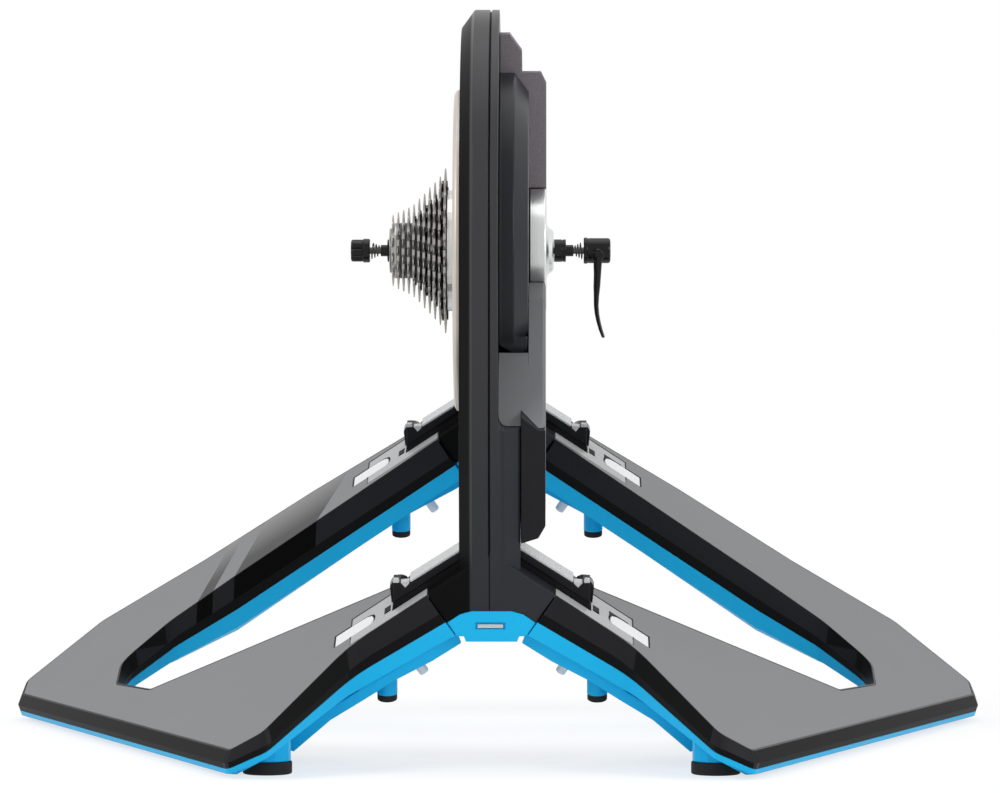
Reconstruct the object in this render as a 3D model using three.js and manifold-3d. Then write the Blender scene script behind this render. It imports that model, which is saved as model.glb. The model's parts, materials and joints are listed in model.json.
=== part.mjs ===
// Direct drive bike trainer with two folding wings, in millimetres, +Z up.
// A thin upright body holds the flywheel and brake. The bike's rear dropouts clamp on the axle.
// X runs across the trainer (the cassette is at -X), Y points away from the rider's front wheel.
// The body is drawn square to its wing hinges with the axle at zero, then leaned and lifted to the floor.
import * as THREE from 'three';
import { mergeVertices } from 'three/addons/utils/BufferGeometryUtils.js';
import Module from 'manifold-3d';

const wasm = await Module();
wasm.setup();

// Overall stance.
const AXLE_HEIGHT = 369;
const LEAN = THREE.MathUtils.degToRad(15.2);

// Clearances and overruns shared by the pieces.
const SEAT_GAP = 0.3;
const RUNNING_GAP = 1;
const OVERRUN = 40;
const OVERREACH = 400;
const ROUND_SIDES = 40;
const SMALL_SIDES = 16;
const ARC_STEPS = 5;
const BOLT_SIDES = 8;
const MITRE_SHARE = 0.3;

// Body casing, measured from the axle.
const DISC_RADIUS = 175;
const SEAM_X = -1.5;
const DRIVE_RIM_X = -13.3;
const DRIVE_FACE_X = -22.8;
const DRIVE_CHAMFER = 13;
const BRAKE_RIM_X = 4.5;
const SEAM_GROOVE = { width: 0.6, depth: 1.2 };
const FRONT_BEND = { z: -107, radius: 40 };
const BACK_BEND_DOWN = { z: -150, radius: 50 };
const SADDLE_LINE = 206;

// Wing hinges: the arm joint line on the wing's top face, and the hinge pins.
const PARTING_X = 45.5;
const PARTING_Z = -195;
const PARTING_GAP = 0.8;
const ARM_CENTRES = { near: -173, far: 206 };
const ARM_FRONT = 36;
const ARM_BACK = 35;
const PIN_X = 65;
const PIN_Z = -202;
const PIN_RADIUS = 4;
const PIN_EAR_RADIUS = 7.5;

// Saddle under the body that the wings butt against.
const SADDLE_FLAT_HALF = 14;
const SADDLE_KNEE = { x: 22.4, z: -208.5 };
const SADDLE_SEAM_Z = -214.6;
const COVER_FOOT_Z = -225;
const LIP_HALF = 18;
const LIP_SLANT = 1.5;
const LIP_STEP = 4;

// Wing outline on its top face, in plan, for the right wing.
const WING_ROOT_X = 8;
const ELBOW = { x: 99.4, y: -209, radius: 30 };
const NEAR_TIP = { x: 158, y: -278.3 };
const NEAR_CORNER = { x: 182.5, y: -270.4 };
const OUTER_CORNER = { x: 375, y: 211.5 };
const BACK_CORNER = { x: 374.2, y: 242 };
const BACK_TIP = { x: 315.7, y: 273.5 };
const BACK_BEND = { x: 232, y: 256 };
const BACK_SHOULDER = { x: 144, y: 250 };
const FORK_END = { x: 257, y: 0 };
const FORK_SIDE = { x: 287.5, y: 71 };
const FORK_TOP = { x: 287.5, y: 122 };
const FORK_BEND = { x: 252, y: 147 };
const FORK_FRONT = { x: 200, y: 155 };
const ROOT_REAR_X = 68.6;
const ARM_TAPER = 6;
const WING_CORNER = 8;
const FORK_ROUND = 22;
const WING_ARC_STEPS = 3;

// Wing thickness, as drops below the top face, at the hinge and along the floor edge.
const HINGE_DROPS = { crease: 18, seam: 28, flank: 44, foot: 49.5 };
const EDGE_DROPS = { crease: 8.5, seam: 13, flank: 17.2, foot: 19 };
const BAND_OUTSETS = { crease: 3.6, seam: 2.2, flank: 1, foot: -7 };
const EDGE_HEIGHT = 20.42;
const HINGE_HEIGHT = 126;
const FALL_RATE = (AXLE_HEIGHT + OUTER_CORNER.y * Math.sin(LEAN) + PARTING_Z * Math.cos(LEAN) - EDGE_HEIGHT)
  / (Math.cos(LEAN) * (OUTER_CORNER.x - PARTING_X));
const WING_FALL = Math.atan(FALL_RATE);
const SKIN_LIP = 1.2;
const SKIN_THICKNESS = 2.5;

// Slot in each arm that the body's outrigger stands in.
const SLOT_FRONT = 19.3;
const SLOT_BACK = 16;
const PLATE_GAP = 0.6;
const SLOT_END_X = 84;

// Outriggers: the rail above the arm, the beam inside it and the storage foot below.
const RAIL_FRONT = 19;
const RAIL_WIDTH = 19;
const RAIL_INNER = { x: 8, z: -158.6 };
const RAIL_OUTER = { x: 57.5, z: -191 };
const RAIL_NOTCH = { x: 61, z: -194.8 };
const HOOK_TOP = { x: 64, z: -191 };
const RAIL_END_X = 69.5;
const BEAM_HALF = 15;
const BEAM_TOP_DROP = 4.8;
const BEAM_SHOULDER_X = 77;
const BEAM_NOSE = { x: 82, z: -236 };
const BEAM_UNDER_Z = -243;
const BEAM_ROOT_Z = -203;
const BEAM_KNEE = { x: 30, z: -211.5 };
const PIN_INNER = 14;
const STORAGE_FOOT = { x: 74.8, radius: 7.3, bottom: -285, tip: 5, tipRadius: 7.1 };

// Lock plate with its hinge ear, and the white release paddle.
const PLATE_THICKNESS = 3;
const PLATE_END_X = 99.5;
const PLATE_BACK = 20;
const PLATE_INSET = 1.5;
const EAR_WIDTH = 11;
const EAR_REACH = 2;
const EAR_SWEEP_SHARE = 1.25;
const LOCK_HOLE = { fromX: 71.4, toX: 76, front: 16, back: 2 };
const PADDLE = { fromX: 84, toX: 111, front: 17, back: 5, thickness: 4, nose: 5, shoulder: 10, travel: 2 };
const PADDLE_SLOT_X = 83;
const PADDLE_GAP = 0.5;

// Rubber corner feet under the wings, placed on the floor about the axle line.
const CORNER_FEET = { near: { x: 158, y: -138 }, far: { x: 338, y: 312 } };
const CORNER_FOOT = { radius: 17.5, height: 9, columnRadius: 16.5, inWing: 18 };

// Flywheel, brake and bearings inside the casing.
const CASING_WALL = 19;
const RIM_ROOM = 6;
const RIM_THICKNESS = 34;
const AIR_GAP = 3;
const CAVITY = { radius: DISC_RADIUS - CASING_WALL, left: -19.8, right: 1.5 };
const RIM_RADIUS = CAVITY.radius - RIM_ROOM;
const FLYWHEEL = { outer: RIM_RADIUS, inner: RIM_RADIUS - RIM_THICKNESS, left: -18.6, right: -3.2, web: 3.4 };
const STATOR = { outer: FLYWHEEL.inner - AIR_GAP, inner: 26, left: -13.4, right: 1.2, back: 3 };
const STATOR_SLOT = { count: 24, depth: 16, width: 5 };
const HUB_TUBE = { outer: 17, bore: 13.6, right: 0 };
const ROTOR_FLANGE = { radius: 44, left: -33.2, right: -29.4 };
const FLANGE_BOLT = { count: 10, circle: 37, radius: 2.4, depth: 2 };
const HUB_WAY = 46;
const DISC_COVER = { radius: 117, hole: HUB_WAY, left: -28.2, step: -26.4, edge: 4 };
const BEARING = { outer: 13.3, bore: 8.6, width: 7 };
const BEARING_LEFT_X = -27;
const BEARING_RIGHT_X = -6;

// Axle with its end caps, measured where the frame's dropouts clamp.
const DROPOUT_SPAN = 130;
const LEFT_DROPOUT_X = -77.3;
const AXLE_RADIUS = 8.3;
const AXLE_BORE = 3;
const STUB = { radius: 4.2, left: 4.9, right: 5.5 };
const LOCKNUT = { radius: 8.25, thickness: 1.1 };

// Brake-side hub flange.
const HUB_FLANGE = {
  radius: 45, left: 26, face: 38.6, rim: 1.2, bossRadius: 13.5, bossEnd: 43.8, sleeve: 17.5, sleeveLeft: 2,
};

// Cassette.
const TEETH = [28, 25, 23, 21, 19, 17, 15, 14, 13, 12, 11];
const CHAIN_PITCH = 12.7;
const ROLLER_RADIUS = 3.9;
const TOOTH_TOP = 3.4;
const TOOTH_LAND_SHARE = 0.09;
const SEAT_SHARE = 0.19;
const HALF_TOOTH_SHARE = 0.5;
const SPROCKET_PITCH = 3.82;
const SPROCKET_THICKNESS = 1.8;
const BIG_SPROCKET_X = -34.9;
const FREEHUB = { radius: 17.4, left: -74.3 };
const SPACER_WALL = 2.8;
const SPIDER_WALL = 9;
const CLUSTER_COUNTS = [3, 4];
const LOCK_RING = { radius: 16.4, bore: 9.4, thickness: 1.1 };
const WINDOW = { count: 8, radius: 4.6, sides: 6 };

// Quick release skewer.
const SKEWER = { radius: 2.4, left: -101, right: 72 };
const NUT = { left: -103.9, collar: -95, right: -90, radius: 8.1, collarRadius: 8.7, lobes: 6, groove: 1.4 };
const SPRING = { turns: 4, wire: 0.5, small: 3.6, big: 6.2, sides: 5, stepsPerTurn: 8 };
const CAM = { left: 65.6, collar: 68.6, right: 85.2, radius: 9.2, collarRadius: 9.6, round: 1.5 };
const LEVER_PIVOT_X = 76;
const LEVER = { eye: 4.6, front: -14, back: -9.9, camRadius: 3, camEnd: 7, width: 4, flare: 0.6 };
const LEVER_PATH = [
  { out: 0, down: 1, thickness: 3.2 }, { out: -1, down: 14, thickness: 3.1 },
  { out: -2.4, down: 24, thickness: 2.5 }, { out: -2.8, down: 38, thickness: 2.1 },
  { out: -1, down: 50, thickness: 1.9 }, { out: 3.4, down: 62, thickness: 1.6 },
];

// Brake-side casings.
const RAISED = { radius: 131, left: 4.8, knee: 15.5, face: 25.7, chamfer: 14, back: 12 };
const RAISED_FOOT = { z: -46, rise: 11, bend: 4 };
const REAR_COVER = { radius: 159, left: 4.8, knee: 12, face: 20.7, chamfer: 12, bottom: -44 };
const REAR_STEP = { radius: 131, knee: 34.5, face: 38.4, chamfer: 8 };
const PANEL = {
  left: 4.8, face: 38, front: -88, back: 126, lowerBack: 96, top: -44.3, frontTop: -12, bottom: -176,
  corner: 16, chamfer: 2,
};
const PANEL_TIP = { y: -190, z: -78, under: -90 };
const COLUMN = { knee: 9.3, face: 20.4, chamfer: 9, top: -77, fillet: 6 };
const BLOCK = { knee: 33, face: 38, inset: 7, top: -78, bottom: -155, slope: 9, drop: 4 };

const materials = {
  casing: new THREE.MeshStandardMaterial({ color: 0x24272b, roughness: 0.5, metalness: 0.1 }),
  texturedPlastic: new THREE.MeshStandardMaterial({ color: 0x3a383b, roughness: 0.85, metalness: 0 }),
  greyPanel: new THREE.MeshStandardMaterial({ color: 0x55585c, roughness: 0.55, metalness: 0 }),
  wingGrey: new THREE.MeshStandardMaterial({ color: 0x86878a, roughness: 0.5, metalness: 0.1 }),
  plateGrey: new THREE.MeshStandardMaterial({ color: 0xb4b5b7, roughness: 0.45, metalness: 0.3 }),
  wingBlack: new THREE.MeshStandardMaterial({ color: 0x16171a, roughness: 0.45, metalness: 0 }),
  blue: new THREE.MeshStandardMaterial({ color: 0x1fb0ea, roughness: 0.45, metalness: 0 }),
  white: new THREE.MeshStandardMaterial({ color: 0xf2f3f4, roughness: 0.4, metalness: 0 }),
  rubber: new THREE.MeshStandardMaterial({ color: 0x111214, roughness: 0.9, metalness: 0 }),
  aluminium: new THREE.MeshStandardMaterial({ color: 0xd4d8d6, roughness: 0.3, metalness: 0.9 }),
  coverSilver: new THREE.MeshStandardMaterial({ color: 0xc9c3ba, roughness: 0.4, metalness: 0.5 }),
  steel: new THREE.MeshStandardMaterial({ color: 0x9ea0a3, roughness: 0.35, metalness: 1 }),
  sprocketSteel: new THREE.MeshStandardMaterial({ color: 0xc3c4c4, roughness: 0.25, metalness: 1 }),
  blackSteel: new THREE.MeshStandardMaterial({ color: 0x17181a, roughness: 0.3, metalness: 0.6 }),
  copper: new THREE.MeshStandardMaterial({ color: 0xa8622f, roughness: 0.5, metalness: 0.6 }),
};

const trainer = new THREE.Group();
const body = new THREE.Group();
trainer.add(body);

// A closed geometry with shared corners, no slivers at the axis and its faces outward.
function closed(geometry) {
  const bare = geometry.clone();
  bare.deleteAttribute('normal');
  bare.deleteAttribute('uv');
  const merged = mergeVertices(bare);
  const index = merged.getIndex().array;
  const kept = [];
  for (let i = 0; i < index.length; i += 3) {
    const [a, b, c] = [index[i], index[i + 1], index[i + 2]];
    if (a !== b && b !== c && c !== a) kept.push(a, b, c);
  }
  merged.setIndex(volumeOf(merged.getAttribute('position'), kept) < 0 ? kept.reverse() : kept);
  return merged;
}

function volumeOf(position, index) {
  const [a, b, c] = [new THREE.Vector3(), new THREE.Vector3(), new THREE.Vector3()];
  let volume = 0;
  for (let i = 0; i < index.length; i += 3) {
    a.fromBufferAttribute(position, index[i]);
    b.fromBufferAttribute(position, index[i + 1]);
    c.fromBufferAttribute(position, index[i + 2]);
    volume += a.dot(b.cross(c));
  }
  return volume;
}

function solid(geometry) {
  const mesh = closed(geometry);
  return new wasm.Manifold(new wasm.Mesh({
    numProp: 3,
    vertProperties: new Float32Array(mesh.getAttribute('position').array),
    triVerts: new Uint32Array(mesh.getIndex().array),
  }));
}

function surface(manifold) {
  const mesh = manifold.getMesh();
  const geometry = new THREE.BufferGeometry();
  geometry.setAttribute('position', new THREE.BufferAttribute(new Float32Array(mesh.vertProperties), 3));
  geometry.setIndex(new THREE.BufferAttribute(new Uint32Array(mesh.triVerts), 1));
  return geometry;
}

function join(first, ...others) {
  return surface(others.reduce((whole, other) => whole.add(solid(other)), solid(first)));
}

function cut(first, ...tools) {
  return surface(tools.reduce((whole, tool) => whole.subtract(solid(tool)), solid(first)));
}

function overlap(first, second) {
  return surface(solid(first).intersect(solid(second)));
}

// A corner list [u, v, radius] becomes an outline with round corners.
function outline(corners, steps = ARC_STEPS) {
  const points = [];
  corners.forEach(([u, v, radius = 0], i) => {
    const here = new THREE.Vector2(u, v);
    if (radius === 0) {
      points.push(here);
      return;
    }
    const [backU, backV] = corners.at(i - 1);
    const [nextU, nextV] = corners[(i + 1) % corners.length];
    const back = new THREE.Vector2(backU, backV).sub(here).normalize();
    const next = new THREE.Vector2(nextU, nextV).sub(here).normalize();
    const half = Math.acos(THREE.MathUtils.clamp(back.dot(next), -1, 1)) / 2;
    const centre = back.clone().add(next).normalize().multiplyScalar(radius / Math.sin(half)).add(here);
    const reach = radius / Math.tan(half);
    const start = here.clone().addScaledVector(back, reach).sub(centre);
    const sweep = start.angleTo(here.clone().addScaledVector(next, reach).sub(centre));
    const turn = Math.sign(start.cross(here.clone().addScaledVector(next, reach).sub(centre)));
    for (let k = 0; k <= steps; k += 1) {
      points.push(start.clone().rotateAround(new THREE.Vector2(), turn * sweep * k / steps).add(centre));
    }
  });
  return points;
}

// Moves every side of an outline outward by a distance, or inward when it is negative.
function offset(points, distance) {
  const way = THREE.ShapeUtils.area(points) > 0 ? distance : -distance;
  return points.map((here, i) => {
    const back = here.clone().sub(points.at(i - 1)).normalize();
    const next = points[(i + 1) % points.length].clone().sub(here).normalize();
    const mitre = new THREE.Vector2(back.y + next.y, -back.x - next.x).normalize();
    const stretch = 1 / Math.max(mitre.dot(new THREE.Vector2(back.y, -back.x)), MITRE_SHARE);
    return here.clone().addScaledVector(mitre, way * stretch);
  });
}

// A skin over rings of equal point count, closed at both ends.
function loft(rings, flatten) {
  const count = rings[0].length;
  const index = [];
  for (let r = 0; r + 1 < rings.length; r += 1) {
    for (let i = 0; i < count; i += 1) {
      const [a, b] = [r * count + i, r * count + (i + 1) % count];
      index.push(a, b, b + count, a, b + count, a + count);
    }
  }
  const last = (rings.length - 1) * count;
  const cap = THREE.ShapeUtils.triangulateShape(rings[0].map(flatten), []);
  const clockwise = THREE.ShapeUtils.isClockWise(rings[0].map(flatten));
  for (const [a, b, c] of cap) {
    index.push(...(clockwise ? [a, b, c] : [c, b, a]));
    index.push(...(clockwise ? [c + last, b + last, a + last] : [a + last, b + last, c + last]));
  }
  const geometry = new THREE.BufferGeometry().setFromPoints(rings.flat());
  geometry.setIndex(index);
  return geometry;
}

// An outline in Y and Z, extruded along X through steps of [x, inset].
function layered(points, steps) {
  const rings = steps.map(([x, inset]) => offset(points, -inset).map((p) => new THREE.Vector3(x, p.x, p.y)));
  return loft(rings, (p) => new THREE.Vector2(p.y, p.z));
}

// Prisms along each axis, from an outline in the other two.
function alongX(points, from, to) {
  const prism = new THREE.ExtrudeGeometry(new THREE.Shape(points), { depth: to - from, bevelEnabled: false });
  const axes = [new THREE.Vector3(0, 1, 0), new THREE.Vector3(0, 0, 1), new THREE.Vector3(1, 0, 0)];
  return prism.applyMatrix4(new THREE.Matrix4().makeBasis(...axes)).translate(from, 0, 0);
}

function alongY(points, from, to) {
  const prism = new THREE.ExtrudeGeometry(new THREE.Shape(points), { depth: to - from, bevelEnabled: false });
  const axes = [new THREE.Vector3(1, 0, 0), new THREE.Vector3(0, 0, 1), new THREE.Vector3(0, -1, 0)];
  return prism.applyMatrix4(new THREE.Matrix4().makeBasis(...axes)).translate(0, to, 0);
}

function alongZ(points, from, to) {
  const prism = new THREE.ExtrudeGeometry(new THREE.Shape(points), { depth: to - from, bevelEnabled: false });
  return prism.translate(0, 0, from);
}

function box(fromX, toX, fromY, toY, fromZ, toZ) {
  return alongZ(flat([[fromX, fromY], [toX, fromY], [toX, toY], [fromX, toY]]), fromZ, toZ);
}

// A turned piece about the X axis, from a profile of [radius, x] pairs.
function turned(profile, sides = ROUND_SIDES) {
  const points = profile.map(([radius, x]) => new THREE.Vector2(radius, x));
  return closed(new THREE.LatheGeometry(points, sides).rotateZ(-Math.PI / 2));
}

function rod(radius, from, to, sides = ROUND_SIDES) {
  return turned([[0, from], [radius, from], [radius, to], [0, to]], sides);
}

function tube(outer, inner, from, to, sides = ROUND_SIDES) {
  return turned([[inner, from], [outer, from], [outer, to], [inner, to], [inner, from]], sides);
}

// An upright cylinder standing at a place on the wing hinge's frame.
function pillar(radius, x, y, from, to, sides = SMALL_SIDES) {
  const shape = new THREE.CylinderGeometry(radius, radius, to - from, sides);
  return shape.rotateX(Math.PI / 2).translate(x, y, (from + to) / 2);
}

function mirrored(geometry) {
  const flipped = closed(geometry).scale(-1, 1, 1);
  const index = Array.from(flipped.getIndex().array).reverse();
  flipped.setIndex(index);
  return flipped;
}

function add(name, geometry, material) {
  const mesh = new THREE.Mesh(closed(geometry), material);
  mesh.name = name;
  body.add(mesh);
  return mesh;
}

// The wing's top face and how high it is over the floor.
function topFace(x) {
  return PARTING_Z - (x - PARTING_X) * FALL_RATE;
}

function heightOverFloor(x, y) {
  return AXLE_HEIGHT + y * Math.sin(LEAN) + topFace(x) * Math.cos(LEAN);
}

// The height of the top face over a place on the floor.
function heightAbove(x, floorY) {
  return AXLE_HEIGHT + floorY * Math.tan(LEAN) + topFace(x) / Math.cos(LEAN);
}

function dropAt(level, x, y) {
  const rise = (heightOverFloor(x, y) - EDGE_HEIGHT) / (HINGE_HEIGHT - EDGE_HEIGHT);
  return THREE.MathUtils.lerp(EDGE_DROPS[level], HINGE_DROPS[level], THREE.MathUtils.clamp(rise, 0, 1));
}

// Body shells: the disc runs straight on into its two legs, and is halved at the seam.
function bodyOutline() {
  const front = new THREE.Vector2(ARM_CENTRES.near - ARM_FRONT, FRONT_BEND.z);
  const back = new THREE.Vector2(ARM_CENTRES.far + ARM_BACK, BACK_BEND_DOWN.z);
  const from = back.angle() - 2 * Math.PI + Math.acos(DISC_RADIUS / back.length());
  const to = front.angle() - Math.acos(DISC_RADIUS / front.length());
  const points = [];
  for (let i = 0; i <= ROUND_SIDES; i += 1) {
    const angle = from + (to - from) * i / ROUND_SIDES;
    points.push([DISC_RADIUS * Math.cos(angle), DISC_RADIUS * Math.sin(angle)]);
  }
  const legs = [
    [front.x, front.y, FRONT_BEND.radius], [front.x, -SADDLE_LINE], [back.x, -SADDLE_LINE],
    [back.x, back.y, BACK_BEND_DOWN.radius],
  ];
  return outline([...points, ...legs]);
}

// The plane where a wing butts against the saddle, square to the arm's slope.
function jointX(z, gap = 0) {
  return PARTING_X - gap + (z - PARTING_Z) * FALL_RATE;
}

// Half of the saddle's section, from the seam out to the wing's joint plane.
function saddleSection(seamX) {
  const inner = seamX + SEAT_GAP / 2;
  const edge = jointX(PARTING_Z, PARTING_GAP);
  return [[inner, topFace(inner)], [inner, -SADDLE_LINE], [SADDLE_FLAT_HALF, -SADDLE_LINE],
    [SADDLE_KNEE.x, SADDLE_KNEE.z], [jointX(SADDLE_SEAM_Z, PARTING_GAP), SADDLE_SEAM_Z],
    [edge, topFace(edge)]].map(([x, z]) => new THREE.Vector2(x, z));
}

function flat(points) {
  return points.map(([u, v]) => new THREE.Vector2(u, v));
}

const armCentres = Object.entries(ARM_CENTRES);

// A section of the saddle, drawn out over the width of both arms.
function overArms(section) {
  return armCentres.map(([, centre]) => alongY(section, centre - ARM_FRONT, centre + ARM_BACK));
}

// One outrigger for the right side: rail, beam and boss in one casting, grown by a clearance.
function outriggerShape(centre, grow) {
  const innerX = RAIL_INNER.x - grow;
  const railSection = flat([
    [innerX, RAIL_INNER.z + grow], [RAIL_OUTER.x, RAIL_OUTER.z + grow], [RAIL_NOTCH.x, RAIL_NOTCH.z + grow],
    [HOOK_TOP.x, HOOK_TOP.z + grow], [RAIL_END_X, HOOK_TOP.z + grow],
    [RAIL_END_X, topFace(RAIL_END_X) - BEAM_TOP_DROP - PLATE_THICKNESS],
    [innerX, topFace(innerX) - BEAM_TOP_DROP - PLATE_THICKNESS],
  ]);
  const beamSection = flat([
    [innerX, topFace(innerX) - BEAM_TOP_DROP + grow],
    [BEAM_SHOULDER_X, topFace(BEAM_SHOULDER_X) - BEAM_TOP_DROP + grow],
    [BEAM_NOSE.x, BEAM_NOSE.z], [BEAM_NOSE.x, BEAM_UNDER_Z],
    [STORAGE_FOOT.x - STORAGE_FOOT.radius, BEAM_UNDER_Z], [BEAM_KNEE.x, BEAM_KNEE.z - grow],
    [innerX, BEAM_ROOT_Z - grow],
  ]);
  const rail = alongY(railSection, centre - RAIL_FRONT - grow, centre - RAIL_FRONT + RAIL_WIDTH + grow);
  const beam = alongY(beamSection, centre - BEAM_HALF - grow, centre + BEAM_HALF + grow);
  return join(rail, beam);
}

// Everything below the column's top, which curves up into the body's side.
function belowColumnTop(grow, beyond) {
  const [side, top, outer] = [BRAKE_RIM_X + grow, COLUMN.top + grow, COLUMN.face + beyond];
  return alongY(outline([[side, top, COLUMN.fillet], [side, top + OVERRUN], [-OVERRUN, top + OVERRUN],
    [-OVERRUN, -OVERREACH], [outer, -OVERREACH], [outer, top]]), -OVERREACH, OVERREACH);
}

function bodyShells() {
  const profile = bodyOutline();
  const leftSeam = SEAM_X - SEAT_GAP / 2;
  const rightSeam = SEAM_X + SEAT_GAP / 2;
  const { width, depth } = SEAM_GROOVE;
  const leftDisc = layered(profile, [[leftSeam, depth], [leftSeam - width, depth], [leftSeam - width, 0],
    [DRIVE_RIM_X, 0], [DRIVE_FACE_X, DRIVE_CHAMFER]]);
  const rightDisc = layered(profile, [[rightSeam, depth], [rightSeam + width, depth], [rightSeam + width, 0],
    [BRAKE_RIM_X, 0]]);
  const rightSaddles = overArms(saddleSection(SEAM_X));
  const leftSaddles = overArms(saddleSection(-SEAM_X)).map(mirrored);
  const { knee, face, chamfer } = COLUMN;
  const thick = layered(profile, [[BRAKE_RIM_X - RUNNING_GAP, 0], [knee, 0], [face, chamfer]]);
  const lower = belowColumnTop(0, OVERRUN);
  const cavity = rod(CAVITY.radius, CAVITY.left, CAVITY.right);
  const hubWay = rod(HUB_WAY, DRIVE_FACE_X - OVERRUN, CAVITY.left + RUNNING_GAP);
  const axleWay = rod(HUB_FLANGE.sleeve + SEAT_GAP, CAVITY.right - RUNNING_GAP, BRAKE_RIM_X + OVERRUN);
  const tunnels = armCentres.map(([, centre]) => outriggerShape(centre, SEAT_GAP));
  const driveShell = join(leftDisc, ...leftSaddles);
  const brakeShell = join(rightDisc, ...rightSaddles, overlap(thick, lower));
  add('drive_side_shell', cut(driveShell, cavity, hubWay, ...tunnels.map(mirrored)), materials.casing);
  add('brake_side_shell', cut(brakeShell, cavity, axleWay, ...tunnels), materials.casing);
}

// The blue cover under the saddle.
function bottomCover() {
  const side = [
    [SADDLE_FLAT_HALF, -SADDLE_LINE - SEAT_GAP], [SADDLE_KNEE.x, SADDLE_KNEE.z - SEAT_GAP],
    [jointX(SADDLE_SEAM_Z - SEAT_GAP, PARTING_GAP), SADDLE_SEAM_Z - SEAT_GAP],
    [jointX(COVER_FOOT_Z, PARTING_GAP), COVER_FOOT_Z], [LIP_HALF + LIP_SLANT, COVER_FOOT_Z],
    [LIP_HALF, COVER_FOOT_Z - LIP_STEP],
  ];
  const section = [...side.map(([x, z]) => [-x, z]).reverse(), ...side];
  const between = box(-SADDLE_FLAT_HALF, SADDLE_FLAT_HALF, ARM_CENTRES.near, ARM_CENTRES.far,
    COVER_FOOT_Z, -SADDLE_LINE - SEAT_GAP);
  add('bottom_cover', join(between, ...overArms(flat(section))), materials.blue);
}

// Brake-side casings: a smooth raised casing in front of a stepped, textured cover.
function brakeCasings() {
  const stepped = (size, start, { knee, face, chamfer }) => turned([[0, start], [size, start], [size, knee],
    [size - chamfer, face], [0, face]]);
  const raised = stepped(RAISED.radius, RAISED.left, RAISED);
  const { z, rise, bend } = RAISED_FOOT;
  const keep = alongY(flat([[0, z + rise], [RAISED.left, z + rise], [RAISED.knee, z + bend], [RAISED.face, z],
    [OVERREACH, z], [OVERREACH, OVERREACH], [0, OVERREACH]]), -OVERREACH, RAISED.back);
  const axleWay = rod(HUB_FLANGE.sleeve + SEAT_GAP, 0, OVERREACH);
  add('raised_casing', cut(overlap(raised, keep), axleWay), materials.casing);

  const base = stepped(REAR_COVER.radius, REAR_COVER.left, REAR_COVER);
  const step = stepped(REAR_STEP.radius, REAR_COVER.knee, REAR_STEP);
  const behind = box(0, OVERREACH, RAISED.back + SEAT_GAP, OVERREACH, REAR_COVER.bottom, OVERREACH);
  const flangeWay = rod(HUB_FLANGE.radius + RUNNING_GAP, HUB_FLANGE.left - SEAT_GAP, OVERREACH);
  add('rear_cover', cut(overlap(join(base, step), behind), axleWay, flangeWay), materials.texturedPlastic);
}

// The block's section across the trainer, and the room for it in the panel.
function blockSection(grow, beyond) {
  const [inner, outer, top] = [COLUMN.face + SEAT_GAP, BLOCK.face + beyond, BLOCK.top + grow];
  return flat([[inner, top + BLOCK.slope], [BLOCK.knee, top], [outer, top], [outer, BLOCK.bottom + BLOCK.slope],
    [BLOCK.knee, BLOCK.bottom], [inner, BLOCK.bottom - BLOCK.drop]]);
}

function lowerCasings() {
  const { left, face, front, back, lowerBack, top, frontTop, bottom, corner, chamfer } = PANEL;
  const shape = outline([[front, frontTop], [PANEL_TIP.y, PANEL_TIP.z], [PANEL_TIP.y, PANEL_TIP.under],
    [front, PANEL_TIP.under], [front, bottom, corner], [lowerBack, bottom, corner], [back, top],
    [RAISED.back, top], [RAISED.back, frontTop]]);
  const panel = layered(shape, [[left, 0], [face - chamfer, 0], [face, chamfer]]);
  const aboveShoulder = box(-OVERRUN, RAISED.face + SEAT_GAP, -OVERREACH, RAISED.back + SEAT_GAP,
    RAISED_FOOT.z - SEAT_GAP, OVERREACH);
  const columnRoom = belowColumnTop(SEAT_GAP, SEAT_GAP);
  const blockRoom = alongY(blockSection(SEAT_GAP, OVERRUN), -OVERREACH, front - SEAT_GAP / 2);
  const flangeWay = rod(HUB_FLANGE.radius + RUNNING_GAP, -OVERRUN, OVERREACH);
  const grey = cut(panel, aboveShoulder, columnRoom, blockRoom, flangeWay);
  add('recess_panel', grey, materials.greyPanel);

  const profile = layered(bodyOutline(), [[0, BLOCK.inset], [face + OVERRUN, BLOCK.inset]]);
  const block = alongY(blockSection(0, 0), -OVERREACH, front - SEAT_GAP);
  add('lower_block', overlap(block, profile), materials.wingBlack);
}

// The round cover behind the cassette.
function discCover() {
  const { radius, hole, left, step, edge } = DISC_COVER;
  const seat = DRIVE_FACE_X - SEAT_GAP;
  const profile = [[hole, seat], [radius, seat], [radius, step], [radius - edge, left], [hole, left],
    [hole, seat]];
  add('drive_side_disc_cover', turned(profile), materials.coverSilver);
}

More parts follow.
